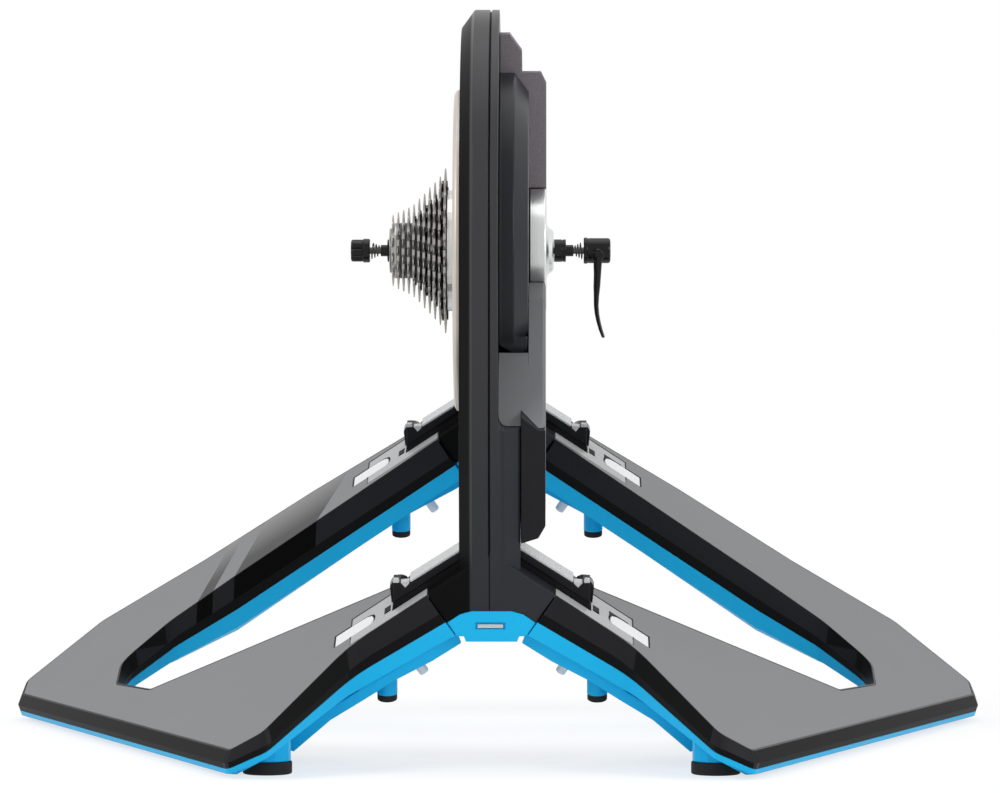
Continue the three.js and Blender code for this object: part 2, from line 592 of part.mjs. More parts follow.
// Flywheel, brake and hub bearings inside the casing.
function driveTrain() {
  const { outer, inner, left, right, web } = FLYWHEEL;
  add('flywheel', turned([[HUB_TUBE.outer + SEAT_GAP, left], [outer, left], [outer, right], [inner, right],
    [inner, left + web], [HUB_TUBE.outer + SEAT_GAP, left + web], [HUB_TUBE.outer + SEAT_GAP, left]]),
  materials.steel);

  const slots = [];
  const { count, depth, width } = STATOR_SLOT;
  for (let i = 0; i < count; i += 1) {
    const slot = box(STATOR.left - OVERRUN, STATOR.right - STATOR.back, STATOR.outer - depth,
      STATOR.outer + OVERRUN, -width / 2, width / 2);
    slots.push(slot.rotateX(2 * Math.PI * i / count));
  }
  const ring = tube(STATOR.outer, STATOR.inner, STATOR.left, STATOR.right);
  add('brake_stator', cut(ring, ...slots), materials.copper);

  const flange = ROTOR_FLANGE;
  const holes = [];
  for (let i = 0; i < FLANGE_BOLT.count; i += 1) {
    const floor = flange.left + FLANGE_BOLT.depth;
    const hole = rod(FLANGE_BOLT.radius, flange.left - OVERRUN, floor, BOLT_SIDES);
    holes.push(hole.translate(0, FLANGE_BOLT.circle, 0).rotateX(2 * Math.PI * i / FLANGE_BOLT.count));
  }
  const hub = turned([[HUB_TUBE.bore, flange.left], [flange.radius, flange.left], [flange.radius, flange.right],
    [HUB_TUBE.outer, flange.right], [HUB_TUBE.outer, HUB_TUBE.right], [HUB_TUBE.bore, HUB_TUBE.right],
    [HUB_TUBE.bore, flange.left]]);
  add('flywheel_hub', cut(hub, ...holes), materials.aluminium);

  for (const [name, x] of [['hub_bearing_left', BEARING_LEFT_X], ['hub_bearing_right', BEARING_RIGHT_X]]) {
    const half = BEARING.width / 2;
    add(name, tube(BEARING.outer, BEARING.bore, x - half, x + half, SMALL_SIDES), materials.steel);
  }
}

// The fixed axle, the brake-side flange that holds it, and the end adapters.
function axle() {
  const rightDropout = LEFT_DROPOUT_X + DROPOUT_SPAN;
  const { radius, left, face, rim, bossRadius, bossEnd, sleeve, sleeveLeft } = HUB_FLANGE;
  const nutLeft = LEFT_DROPOUT_X + LOCKNUT.thickness;
  add('axle', turned([
    [AXLE_BORE, LEFT_DROPOUT_X - STUB.left], [STUB.radius, LEFT_DROPOUT_X - STUB.left],
    [STUB.radius, LEFT_DROPOUT_X], [LOCKNUT.radius, LEFT_DROPOUT_X], [LOCKNUT.radius, nutLeft],
    [AXLE_RADIUS, nutLeft], [AXLE_RADIUS, bossEnd], [AXLE_BORE, bossEnd],
    [AXLE_BORE, LEFT_DROPOUT_X - STUB.left],
  ], SMALL_SIDES), materials.blackSteel);
  const bore = AXLE_RADIUS + SEAT_GAP;
  add('brake_side_hub_flange', turned([
    [bore, sleeveLeft], [sleeve, sleeveLeft], [sleeve, left], [radius, left], [radius, face - rim],
    [radius - rim, face], [bossRadius + rim, face], [bossRadius, face + rim], [bossRadius, bossEnd - rim],
    [bossRadius - rim, bossEnd], [bore, bossEnd], [bore, sleeveLeft],
  ]), materials.aluminium);
  add('brake_side_adapter', turned([
    [AXLE_BORE, bossEnd + SEAT_GAP], [LOCKNUT.radius, bossEnd + SEAT_GAP], [LOCKNUT.radius, rightDropout],
    [STUB.radius, rightDropout], [STUB.radius, rightDropout + STUB.right],
    [AXLE_BORE, rightDropout + STUB.right], [AXLE_BORE, bossEnd + SEAT_GAP],
  ], SMALL_SIDES), materials.blackSteel);
}

// Sprocket outline: a round seat for each chain roller between narrow teeth.
function sprocketOutline(teeth) {
  const pitchRadius = CHAIN_PITCH / (2 * Math.sin(Math.PI / teeth));
  const tip = pitchRadius + TOOTH_TOP;
  const root = pitchRadius - ROLLER_RADIUS;
  const points = [];
  for (let i = 0; i < teeth; i += 1) {
    for (const [share, reach] of [[TOOTH_LAND_SHARE - HALF_TOOTH_SHARE, tip], [-SEAT_SHARE, root],
      [SEAT_SHARE, root], [HALF_TOOTH_SHARE - TOOTH_LAND_SHARE, tip]]) {
      const angle = 2 * Math.PI * (i + share) / teeth;
      points.push(new THREE.Vector2(reach * Math.cos(angle), reach * Math.sin(angle)));
    }
  }
  return points;
}

function sprocketX(i) {
  return BIG_SPROCKET_X - i * SPROCKET_PITCH;
}

function sprocket(i) {
  const middle = sprocketX(i);
  const half = SPROCKET_THICKNESS / 2;
  const plate = alongX(sprocketOutline(TEETH[i]), middle - half, middle + half);
  if (i >= CLUSTER_COUNTS[0]) return plate;
  const pitchRadius = CHAIN_PITCH / (2 * Math.sin(Math.PI / TEETH[i]));
  const windows = [];
  const circle = (FREEHUB.radius + SPIDER_WALL + pitchRadius - ROLLER_RADIUS) / 2;
  for (let k = 0; k < WINDOW.count; k += 1) {
    const window = rod(WINDOW.radius, middle - OVERRUN, middle + OVERRUN, WINDOW.sides);
    windows.push(window.translate(0, circle, 0).rotateX(2 * Math.PI * k / WINDOW.count));
  }
  return cut(plate, ...windows);
}

// Spacer ring on the small side of a sprocket, up to the next one.
function spacer(i) {
  const near = sprocketX(i);
  const far = sprocketX(i + 1) + SPROCKET_THICKNESS / 2 + SEAT_GAP;
  return rod(FREEHUB.radius + SPACER_WALL, far, near, SMALL_SIDES);
}

function cassette() {
  const bore = rod(FREEHUB.radius + SEAT_GAP, -OVERREACH, OVERREACH, SMALL_SIDES);
  const singles = TEETH.slice(CLUSTER_COUNTS[0] + CLUSTER_COUNTS[1]).map(() => 1);
  let i = 0;
  for (const size of [...CLUSTER_COUNTS, ...singles]) {
    const pieces = [];
    const first = i;
    for (; i < first + size; i += 1) {
      pieces.push(sprocket(i));
      if (i + 1 < TEETH.length) pieces.push(i + 1 < first + size ? bridge(i) : spacer(i));
    }
    const name = size > 1 ? `sprockets_${TEETH[first]}_to_${TEETH[i - 1]}` : `sprocket_${TEETH[first]}`;
    add(name, cut(join(...pieces), bore), materials.sprocketSteel);
  }
  const hubRight = ROTOR_FLANGE.left - SEAT_GAP;
  const freehub = tube(FREEHUB.radius, AXLE_RADIUS + SEAT_GAP, FREEHUB.left, hubRight, SMALL_SIDES);
  add('freehub_body', freehub, materials.steel);
  const ringRight = FREEHUB.left - SEAT_GAP;
  const { radius, thickness, bore: ringBore } = LOCK_RING;
  const ring = tube(radius, ringBore, ringRight - thickness, ringRight, SMALL_SIDES);
  add('cassette_lock_ring', ring, materials.steel);
}

// The spider between sprockets that are riveted into one cluster.
function bridge(i) {
  return rod(FREEHUB.radius + SPIDER_WALL, sprocketX(i + 1), sprocketX(i), SMALL_SIDES);
}

// Conical skewer spring, one unbroken wire.
function conicalSpring(smallX, bigX) {
  const { turns, wire, small, big, sides, stepsPerTurn } = SPRING;
  const count = turns * stepsPerTurn;
  const way = Math.sign(bigX - smallX);
  const start = smallX + way * (wire + SEAT_GAP);
  const end = bigX - way * (wire + SEAT_GAP);
  const centres = [];
  const rings = [];
  for (let k = 0; k <= count; k += 1) {
    const share = k / count;
    const angle = 2 * Math.PI * turns * share;
    const radius = THREE.MathUtils.lerp(small, big, share);
    const out = new THREE.Vector3(0, Math.cos(angle), Math.sin(angle));
    const centre = out.clone().multiplyScalar(radius).setX(THREE.MathUtils.lerp(start, end, share));
    centres.push(centre);
    rings.push(Array.from({ length: sides }, (_, j) => {
      const around = 2 * Math.PI * j / sides;
      return centre.clone().addScaledVector(out, wire * Math.cos(around))
        .add(new THREE.Vector3(wire * Math.sin(around), 0, 0));
    }));
  }
  let least = Infinity;
  centres.forEach((a, i) => centres.slice(i + stepsPerTurn / 2 + 1).forEach((b) => {
    least = Math.min(least, a.distanceTo(b) - 2 * wire);
  }));
  console.log(`skewer spring: least gap between turns ${least.toFixed(2)} mm`);
  return loft(rings, (p) => new THREE.Vector2(p.y, p.x));
}

function skewer() {
  add('skewer_rod', rod(SKEWER.radius, SKEWER.left, SKEWER.right, SMALL_SIDES), materials.steel);
  const lobes = [];
  for (let k = 0; k < ROUND_SIDES; k += 1) {
    const angle = 2 * Math.PI * k / ROUND_SIDES;
    const radius = NUT.radius - NUT.groove * (1 - Math.abs(Math.cos(NUT.lobes * angle / 2)));
    lobes.push(new THREE.Vector2(radius * Math.cos(angle), radius * Math.sin(angle)));
  }
  const grip = alongX(lobes, NUT.left, NUT.collar + SEAT_GAP);
  const collar = rod(NUT.collarRadius, NUT.collar, NUT.right, SMALL_SIDES);
  const thread = rod(SKEWER.radius + SEAT_GAP, SKEWER.left - SEAT_GAP, NUT.right + OVERRUN, SMALL_SIDES);
  add('skewer_nut', cut(join(grip, collar), thread), materials.blackSteel);

  add('skewer_spring_left', conicalSpring(LEFT_DROPOUT_X - STUB.left, NUT.right), materials.steel);
  const rightStub = LEFT_DROPOUT_X + DROPOUT_SPAN + STUB.right;
  add('skewer_spring_right', conicalSpring(rightStub, CAM.left), materials.steel);

  const housing = turned([[0, CAM.left], [CAM.collarRadius, CAM.left], [CAM.collarRadius, CAM.collar],
    [CAM.radius, CAM.collar], [CAM.radius, CAM.right - CAM.round], [CAM.radius - CAM.round, CAM.right],
    [0, CAM.right]], SMALL_SIDES);
  const rodWay = rod(SKEWER.radius + SEAT_GAP, CAM.left - OVERRUN, SKEWER.right + SEAT_GAP, SMALL_SIDES);
  const camWay = pinAlongY(LEVER.camRadius + SEAT_GAP, LEVER_PIVOT_X, 0, -OVERRUN, OVERRUN);
  add('lever_housing', cut(housing, rodWay, camWay), materials.blackSteel);
  add('skewer_lever', lever(), materials.blackSteel);
}

function pinAlongY(radius, x, z, from, to, sides = SMALL_SIDES) {
  return new THREE.CylinderGeometry(radius, radius, to - from, sides).translate(x, (from + to) / 2, z);
}

// Skewer lever: a cam shaft through the housing and a curved handle in front of it.
function lever() {
  const { eye, front, back, camRadius, width } = LEVER;
  const rings = LEVER_PATH.map(({ out, down, thickness }, i) => {
    const half = width / 2 + i * LEVER.flare;
    const middle = (front + back) / 2;
    return [[-thickness, -half], [thickness, -half], [thickness, half], [-thickness, half]]
      .map(([u, v]) => new THREE.Vector3(LEVER_PIVOT_X + out + u, Math.min(middle + v, back), -down));
  });
  const handle = loft(rings, (p) => new THREE.Vector2(p.x, p.y));
  const hub = pinAlongY(eye, LEVER_PIVOT_X, 0, front, back);
  const cam = pinAlongY(camRadius, LEVER_PIVOT_X, 0, front, LEVER.camEnd);
  return join(handle, hub, cam);
}

// Outriggers and the storage feet that the folded trainer stands on.
function outriggers(side, mirror) {
  for (const [place, centre] of armCentres) {
    const boreEnd = centre - PIN_INNER - SEAT_GAP;
    const bore = pinAlongY(PIN_RADIUS + SEAT_GAP, PIN_X, PIN_Z, boreEnd, centre + OVERRUN);
    add(`${place}_${side}_outrigger`, mirror(cut(outriggerShape(centre, 0), bore)), materials.blackSteel);
    const { x, radius, bottom, tip, tipRadius } = STORAGE_FOOT;
    const column = pillar(radius, x, centre, bottom + tip, BEAM_UNDER_Z - SEAT_GAP);
    const cap = pillar(tipRadius, x, centre, bottom, bottom + tip + SEAT_GAP);
    add(`${place}_${side}_storage_foot`, mirror(join(column, cap)), materials.blue);
  }
}

// Wing outline on the top face, in plan.
function wingPlan() {
  const { near, far } = ARM_CENTRES;
  const rounded = ({ x, y }, radius) => [x, y, radius];
  return outline([
    [WING_ROOT_X, near - ARM_FRONT + RUNNING_GAP], rounded(ELBOW, ELBOW.radius), rounded(NEAR_TIP, WING_CORNER),
    rounded(NEAR_CORNER, WING_CORNER), rounded(OUTER_CORNER, WING_CORNER), rounded(BACK_CORNER, WING_CORNER),
    rounded(BACK_TIP, WING_CORNER), rounded(BACK_BEND), rounded(BACK_SHOULDER),
    [PIN_X, far + ARM_BACK - ARM_TAPER], [WING_ROOT_X, far + ARM_BACK - ARM_TAPER],
    [WING_ROOT_X, far - ARM_FRONT], rounded(FORK_FRONT), rounded(FORK_BEND, FORK_ROUND),
    rounded(FORK_TOP, FORK_ROUND), rounded(FORK_SIDE, FORK_ROUND), rounded(FORK_END, WING_CORNER),
    [ROOT_REAR_X, near + ARM_BACK, WING_CORNER], [WING_ROOT_X, near + ARM_BACK],
  ], WING_ARC_STEPS);
}

const plan = wingPlan();

// One level of the wing's skin: the plan moved out or in, and dropped below the top face.
function wingRing(level, lower = 0) {
  return offset(plan, BAND_OUTSETS[level]).map((p, i) => {
    const home = plan[i];
    return new THREE.Vector3(p.x, p.y, topFace(home.x) - dropAt(level, home.x, home.y) - lower);
  });
}

function topRing(inset, lower) {
  return offset(plan, -inset).map((p) => new THREE.Vector3(p.x, p.y, topFace(p.x) - lower));
}

function inPlan(p) {
  return new THREE.Vector2(p.x, p.y);
}

// Places a shape drawn flat on the wing: X along the slope from the joint line, Z square to the top face.
function onWing(geometry) {
  return geometry.rotateY(WING_FALL).translate(PARTING_X, 0, PARTING_Z);
}

function alongSlope(x) {
  return (x - PARTING_X) / Math.cos(WING_FALL);
}

function platePlan(centre, grow) {
  const end = alongSlope(PLATE_END_X) + grow;
  const rear = centre + PLATE_BACK + grow;
  const front = centre - ARM_FRONT + RUNNING_GAP + PLATE_INSET - grow;
  return flat([[-OVERRUN, front], [end, front], [end, rear], [-OVERRUN, rear]]);
}

function paddlePlan(centre, grow = 0, fromX = PADDLE.fromX) {
  const from = alongSlope(fromX) - grow;
  const to = alongSlope(PADDLE.toX) + grow;
  const front = centre - PADDLE.front - grow;
  const back = centre + PADDLE.back + grow;
  const corners = [[from, front, PADDLE.nose], [to, front], [to, back], [from, back, PADDLE.shoulder]];
  return outline(corners, WING_ARC_STEPS);
}

function paddleSlot(centre) {
  return paddlePlan(centre, PADDLE_GAP, PADDLE_SLOT_X);
}

function slotRoom(centre) {
  return box(-OVERREACH, SLOT_END_X, centre - SLOT_FRONT, centre + SLOT_BACK, -OVERREACH, OVERREACH);
}

// Everything on the body's side of the joint plane.
function inboard() {
  const [high, low] = [PARTING_Z + OVERREACH, PARTING_Z - OVERREACH];
  const section = flat([[-2 * OVERREACH, high], [jointX(low), low], [jointX(high), high]]);
  return alongY(section, -OVERREACH, OVERREACH);
}

function wingPieces(side, mirror) {
  const skinDrop = SKIN_THICKNESS / Math.cos(WING_FALL);
  const skinRoom = loft([topRing(SKIN_LIP, skinDrop + SEAT_GAP), topRing(SKIN_LIP, -OVERRUN)], inPlan);
  const slots = armCentres.map(([, centre]) => slotRoom(centre));
  const plateFloor = -PLATE_THICKNESS - SEAT_GAP;
  const paddleFloor = -PADDLE.thickness - PADDLE.travel - SEAT_GAP;
  const plates = armCentres.map(([, centre]) => alongZ(platePlan(centre, PLATE_GAP), plateFloor, OVERRUN));
  const paddles = armCentres.map(([, centre]) => alongZ(paddleSlot(centre), paddleFloor, OVERRUN));
  const rooms = [inboard(), ...slots, ...[...plates, ...paddles].map(onWing)];
  const caseBody = loft([wingRing('seam'), wingRing('crease'), topRing(0, 0)], inPlan);
  add(`${side}_wing_case`, mirror(cut(caseBody, skinRoom, ...rooms)), materials.wingBlack);

  const skin = loft([topRing(SKIN_LIP + SEAT_GAP, skinDrop), topRing(SKIN_LIP + SEAT_GAP, 0)], inPlan);
  add(`${side}_wing_skin`, mirror(cut(skin, ...rooms)), materials.wingGrey);

  const under = loft([wingRing('foot'), wingRing('flank'), wingRing('seam', SEAT_GAP)], inPlan);
  const aboveSeam = loft([wingRing('seam', SEAT_GAP), wingRing('seam', -OVERRUN)], inPlan);
  const { radius, height, columnRadius, inWing } = CORNER_FOOT;
  const footTop = height + SEAT_GAP;
  const columns = Object.values(CORNER_FEET).map(({ x, y }) => standing(
    pillar(columnRadius, x, y, footTop, heightAbove(x, y) - inWing),
  ));
  const footRooms = Object.values(CORNER_FEET).map(({ x, y }) => standing(
    pillar(radius + SEAT_GAP, x, y, -OVERRUN, footTop),
  ));
  const underside = cut(join(under, ...columns), aboveSeam, inboard(), ...slots, ...footRooms);
  add(`${side}_wing_underside`, mirror(underside), materials.blue);

  for (const [place, { x, y }] of Object.entries(CORNER_FEET)) {
    const foot = standing(pillar(radius, x, y, 0, height));
    add(`${place}_${side}_corner_foot`, mirror(foot), materials.rubber);
  }
}

// Turns a piece that stands square to the floor into the body's leaned frame.
function standing(geometry) {
  return geometry.translate(0, 0, -AXLE_HEIGHT).rotateX(-LEAN);
}

// Lock plates with their hinge ears, pins and release paddles.
function wingLocks(side, mirror) {
  const rise = PIN_Z - topFace(PIN_X);
  const pin = { along: alongSlope(PIN_X) - rise * Math.sin(WING_FALL), up: rise * Math.cos(WING_FALL) };
  for (const [place, centre] of armCentres) {
    const plate = onWing(alongZ(platePlan(centre, 0), -PLATE_THICKNESS, 0));
    const railRoom = box(-OVERREACH, RAIL_END_X + PARTING_GAP, centre - SLOT_FRONT, centre + SLOT_BACK,
      -OVERREACH, OVERREACH);
    const paddleRoom = onWing(alongZ(paddleSlot(centre), -OVERRUN, OVERRUN));
    const { fromX, toX, front, back } = LOCK_HOLE;
    const holeBox = box(alongSlope(fromX), alongSlope(toX), centre - front, centre - back, -OVERRUN, OVERRUN);
    const lockHole = onWing(holeBox);
    const bored = pinAlongY(PIN_RADIUS + SEAT_GAP, PIN_X, PIN_Z, centre - OVERRUN, centre + OVERRUN);
    const earPlan = [];
    for (let k = 0; k <= ARC_STEPS * 2; k += 1) {
      const angle = -Math.PI / 2 - (Math.PI * EAR_SWEEP_SHARE) * k / (ARC_STEPS * 2);
      earPlan.push([pin.along + PIN_EAR_RADIUS * Math.cos(angle), pin.up + PIN_EAR_RADIUS * Math.sin(angle)]);
    }
    const earFoot = alongSlope(RAIL_END_X) + EAR_REACH;
    const ear = flat([...earPlan, [earFoot, 0], [earFoot, -PLATE_THICKNESS], [pin.along, -PLATE_THICKNESS]]);
    const earSolid = onWing(alongY(ear, centre + RUNNING_GAP / 2, centre + RUNNING_GAP / 2 + EAR_WIDTH));
    const body = cut(join(cut(plate, inboard(), railRoom, paddleRoom, lockHole), earSolid), bored);
    add(`${place}_${side}_lock_plate`, mirror(body), materials.plateGrey);
    const pinEnd = centre + EAR_WIDTH + RUNNING_GAP;
    const hingePin = pinAlongY(PIN_RADIUS, PIN_X, PIN_Z, centre - PIN_INNER, pinEnd);
    add(`${place}_${side}_hinge_pin`, mirror(hingePin), materials.steel);

    const paddle = alongZ(paddlePlan(centre), -PADDLE.thickness, 0);
    add(`${place}_${side}_release_paddle`, mirror(onWing(paddle)), materials.white);
  }
}

bodyShells();
bottomCover();
brakeCasings();
lowerCasings();
discCover();
driveTrain();
axle();
cassette();
skewer();
for (const [side, mirror] of [['right', (geometry) => geometry], ['left', mirrored]]) {
  outriggers(side, mirror);
  wingPieces(side, mirror);
  wingLocks(side, mirror);
}

// The group stands on its corner feet, centred over its footprint.
body.rotation.x = LEAN;
body.position.z = AXLE_HEIGHT;
trainer.updateMatrixWorld(true);
const footprint = new THREE.Box3().setFromObject(trainer, true);
body.position.y = -(footprint.min.y + footprint.max.y) / 2;

export default trainer;
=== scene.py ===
import json
import math

import bmesh
import bpy
from mathutils import Matrix, Vector

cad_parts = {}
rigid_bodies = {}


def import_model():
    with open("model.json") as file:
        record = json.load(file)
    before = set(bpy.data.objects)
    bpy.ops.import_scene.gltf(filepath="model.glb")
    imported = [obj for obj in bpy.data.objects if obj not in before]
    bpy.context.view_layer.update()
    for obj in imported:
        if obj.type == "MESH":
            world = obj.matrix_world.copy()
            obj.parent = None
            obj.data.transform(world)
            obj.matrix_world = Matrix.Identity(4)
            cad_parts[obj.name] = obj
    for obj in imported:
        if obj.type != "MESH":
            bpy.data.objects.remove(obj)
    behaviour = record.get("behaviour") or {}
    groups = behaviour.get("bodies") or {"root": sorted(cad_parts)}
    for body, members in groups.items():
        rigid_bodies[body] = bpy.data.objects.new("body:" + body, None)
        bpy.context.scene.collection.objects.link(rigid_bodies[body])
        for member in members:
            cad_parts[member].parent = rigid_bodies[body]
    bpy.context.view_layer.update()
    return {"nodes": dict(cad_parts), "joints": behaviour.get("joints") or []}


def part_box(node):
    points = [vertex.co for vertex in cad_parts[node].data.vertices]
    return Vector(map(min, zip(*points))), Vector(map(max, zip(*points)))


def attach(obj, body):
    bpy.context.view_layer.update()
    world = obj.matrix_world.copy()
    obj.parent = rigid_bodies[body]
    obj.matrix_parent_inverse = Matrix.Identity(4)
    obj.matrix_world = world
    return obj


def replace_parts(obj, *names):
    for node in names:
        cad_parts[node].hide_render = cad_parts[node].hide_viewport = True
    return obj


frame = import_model()

# The view: a long lens in front of the trainer, a little above its wings,
# over a plain white floor in soft light from above and from both sides.
hub = Vector(next(j["pos_m"] for j in frame["joints"] if j["name"] == "flywheel_spin"))
scene = bpy.context.scene
scene.view_settings.view_transform = "Standard"


def linked(name, data):
    made = bpy.data.objects.new(name, data)
    scene.collection.objects.link(made)
    return made


FOCAL_MM, SENSOR_MM, CLIP_END = 194.4, 36, 40
CAMERA_RIGHT, CAMERA_BACK, CAMERA_HEIGHT = 0.0404, 3.9354, 0.352
CAMERA_TILT, CAMERA_TURN = 88.7, 0.52
lens = bpy.data.cameras.new("view")
lens.lens, lens.sensor_width, lens.clip_end = FOCAL_MM, SENSOR_MM, CLIP_END
scene.camera = linked("view", lens)
scene.camera.location = (CAMERA_RIGHT, hub.y - CAMERA_BACK, CAMERA_HEIGHT)
scene.camera.rotation_euler = (math.radians(CAMERA_TILT), 0, math.radians(CAMERA_TURN))

LAMPS_AIM = Vector((0, 0, 0.25))
for name, place, size, power in (
    ("lamp_above", (0.0, 0.1, 2.9), 2.2, 19),
    ("lamp_left", (-1.9, -1.7, 1.7), 1.2, 30),
    ("lamp_right", (2.1, -1.6, 1.2), 1.1, 26),
):
    light = bpy.data.lights.new(name, "AREA")
    light.shape, light.size, light.energy = "SQUARE", size, power
    lamp = linked(name, light)
    lamp.location = place
    lamp.rotation_euler = (LAMPS_AIM - lamp.location).to_track_quat("-Z", "Y").to_euler()


class Out:
    """What a node gives out. Sums, products, comparisons and | (the larger of two) make Math nodes."""

    def __init__(self, nodes, socket):
        self.nodes, self.socket = nodes, socket

    def math(self, operation, *values):
        return self.nodes.add("ShaderNodeMath", {"operation": operation}, dict(enumerate(values or (self,))))

    def __add__(self, other):
        return self.math("ADD", self, other)

    def __sub__(self, other):
        return self.math("SUBTRACT", self, other)

    def __rsub__(self, other):
        return self.math("SUBTRACT", other, self)

    def __mul__(self, other):
        return self.math("MULTIPLY", self, other)

    def __truediv__(self, other):
        return self.math("DIVIDE", self, other)

    def __rtruediv__(self, other):
        return self.math("DIVIDE", other, self)

    def __lt__(self, other):
        return self.math("LESS_THAN", self, other)

    def __gt__(self, other):
        return self.math("GREATER_THAN", self, other)

    def __or__(self, other):
        return self.math("MAXIMUM", self, other)

    __radd__, __rmul__ = __add__, __mul__


class Nodes:
    """A node tree whose every node is made by add(): its type, its settings, then its sockets."""

    def __init__(self, tree):
        self.tree = tree

    def add(self, kind, settings=None, sockets=None, out=0):
        node = self.tree.nodes.new(kind)
        for key, value in (settings or {}).items():
            setattr(node, key, value)
        for key, value in (sockets or {}).items():
            self.feed(node.inputs[key], value)
        return Out(self, node.outputs[out]) if len(node.outputs) else node

    def feed(self, socket, value):
        if isinstance(value, Out):
            self.tree.links.new(value.socket, socket)
        else:
            socket.default_value = value

    def part(self, where, axis):
        """One coordinate of a vector: 0, 1 or 2 for X, Y or Z."""
        return self.add("ShaderNodeSeparateXYZ", None, {0: where}, out=axis)


class Finish(Nodes):
    """A material: plain values go straight onto its shader, and what varies is fed to it."""

    def __init__(self, name, **plain):
        self.material = bpy.data.materials.new(name)
        self.material.use_nodes = True
        super().__init__(self.material.node_tree)
        self.shader = self.tree.nodes["Principled BSDF"]
        for key, value in plain.items():
            self.shader.inputs[key.replace("_", " ")].default_value = value

    def place(self):
        return self.add("ShaderNodeTexCoord", out="Object")

    def from_hub(self):
        """The place measured from the hub."""
        return self.add("ShaderNodeVectorMath", {"operation": "SUBTRACT"}, {0: self.place(), 1: tuple(hub)})

    def noise(self, scale, detail=2.0):
        return self.add("ShaderNodeTexNoise", None, {"Vector": self.place(), "Scale": scale, "Detail": detail})

    def ranged(self, value, low, high, to_low=0.0, to_high=1.0):
        return self.add("ShaderNodeMapRange", None, {
            "Value": value, "From Min": low, "From Max": high, "To Min": to_low, "To Max": to_high})

    def mix(self, share, first, second):
        return self.add("ShaderNodeMix", {"data_type": "RGBA"}, {0: share, 6: first, 7: second}, out=2)

    def feeds(self, **varied):
        for key, value in varied.items():
            self.feed(self.shader.inputs[key.replace("_", " ")], value)
        return self

    def bump(self, height, depth_mm, soft_mm=0.0):
        relief = {"Height": height, "Distance": depth_mm / 1000}
        if soft_mm:
            relief["Normal"] = self.add("ShaderNodeBevel", {"samples": 4}, {"Radius": soft_mm / 1000})
        return self.feeds(Normal=self.add("ShaderNodeBump", None, relief))

    def overlaid(self, share, **looks):
        """A second shader over the given share of the surface."""
        surface = self.tree.nodes["Material Output"].inputs["Surface"]
        over = self.add("ShaderNodeBsdfPrincipled", None, {key.replace("_", " "): look for key, look in looks.items()})
        self.feed(surface, self.add("ShaderNodeMixShader", None, {
            0: share, 1: Out(self, surface.links[0].from_socket), 2: over}))
        return self


def tone(red, green, blue):
    """A screen colour, 0 to 255, as the linear colour that renders to it."""
    return tuple(((c / 255 + 0.055) / 1.055) ** 2.4 if c > 10 else c / 3294.6 for c in (red, green, blue)) + (1,)


def grey(level):
    """A neutral linear colour."""
    return (level, level, level, 1)


# The room is white to the eye and in gloss, and only half as bright as a light.
ROOM_SEEN, ROOM_LIGHT = 1.0, 0.5
scene.world = bpy.data.worlds.new("white_room")
scene.world.use_nodes = True
room = Nodes(scene.world.node_tree)
rays = [room.add("ShaderNodeLightPath", out=ray) for ray in ("Is Camera Ray", "Is Glossy Ray", "Is Transmission Ray")]
seen = rays[0] | rays[1] | rays[2]
room.feed(room.tree.nodes["Background"].inputs["Strength"], ROOM_LIGHT + seen * (ROOM_SEEN - ROOM_LIGHT))
room.feed(room.tree.nodes["Background"].inputs["Color"], grey(1))

# The floor is white paper that fades out into the room. Looked at, it glows a little, so that shadows stay pale.
FLOOR_RADIUS, FADE_START, FADE_END, GLOW = 1.5, 0.55, 1.2, 0.7
floor_shape = bmesh.new()
bmesh.ops.create_circle(floor_shape, cap_ends=True, segments=96, radius=FLOOR_RADIUS)
floor_mesh = bpy.data.meshes.new("floor")
floor_shape.to_mesh(floor_mesh)
floor_shape.free()
floor_finish = Finish("floor_paper", Roughness=0.9, Specular_IOR_Level=0.0, Emission_Strength=1.0)
far_out = floor_finish.add("ShaderNodeVectorMath", {"operation": "LENGTH"}, {0: floor_finish.place()}, out="Value")
paper = floor_finish.mix(floor_finish.noise(900.0), grey(0.93), grey(0.96))
rays = [floor_finish.add("ShaderNodeLightPath", out=ray) for ray in ("Is Camera Ray", "Is Glossy Ray")]
looked_at = rays[0] | rays[1]
floor_finish.feeds(
    Base_Color=floor_finish.mix(looked_at, paper, grey(0.36)),
    Emission_Color=floor_finish.mix(looked_at, grey(0), grey(GLOW)),
    Alpha=floor_finish.ranged(far_out, FADE_START, FADE_END, 1.0, 0.0),
)
floor_mesh.materials.append(floor_finish.material)
linked("floor", floor_mesh)

# Body shells: two halves of black, satin injection-moulded plastic that meet at a seam round the rim.
# They are screwed together round the flywheel, and their foot spreads into the saddle under the body.
MM = 0.001
LEAN = math.radians(15.2)
standing = Matrix.Translation(hub) @ Matrix.Rotation(LEAN, 4, "X") @ Matrix.Scale(MM, 4)


def copied(node, level=0.6):
    """A CAD node's shape with its loose triangles joined and its flat faces made whole, in metres."""
    source = frame["nodes"][node].data
    plain = bpy.data.meshes.new("plain")
    plain.from_pydata([v.co for v in source.vertices], [], [list(p.vertices) for p in source.polygons])
    shape = bmesh.new()
    shape.from_mesh(plain)
    bpy.data.meshes.remove(plain)
    bmesh.ops.remove_doubles(shape, verts=shape.verts, dist=2e-5)
    bmesh.ops.dissolve_limit(shape, angle_limit=math.radians(level), verts=shape.verts, edges=shape.edges)
    return shape


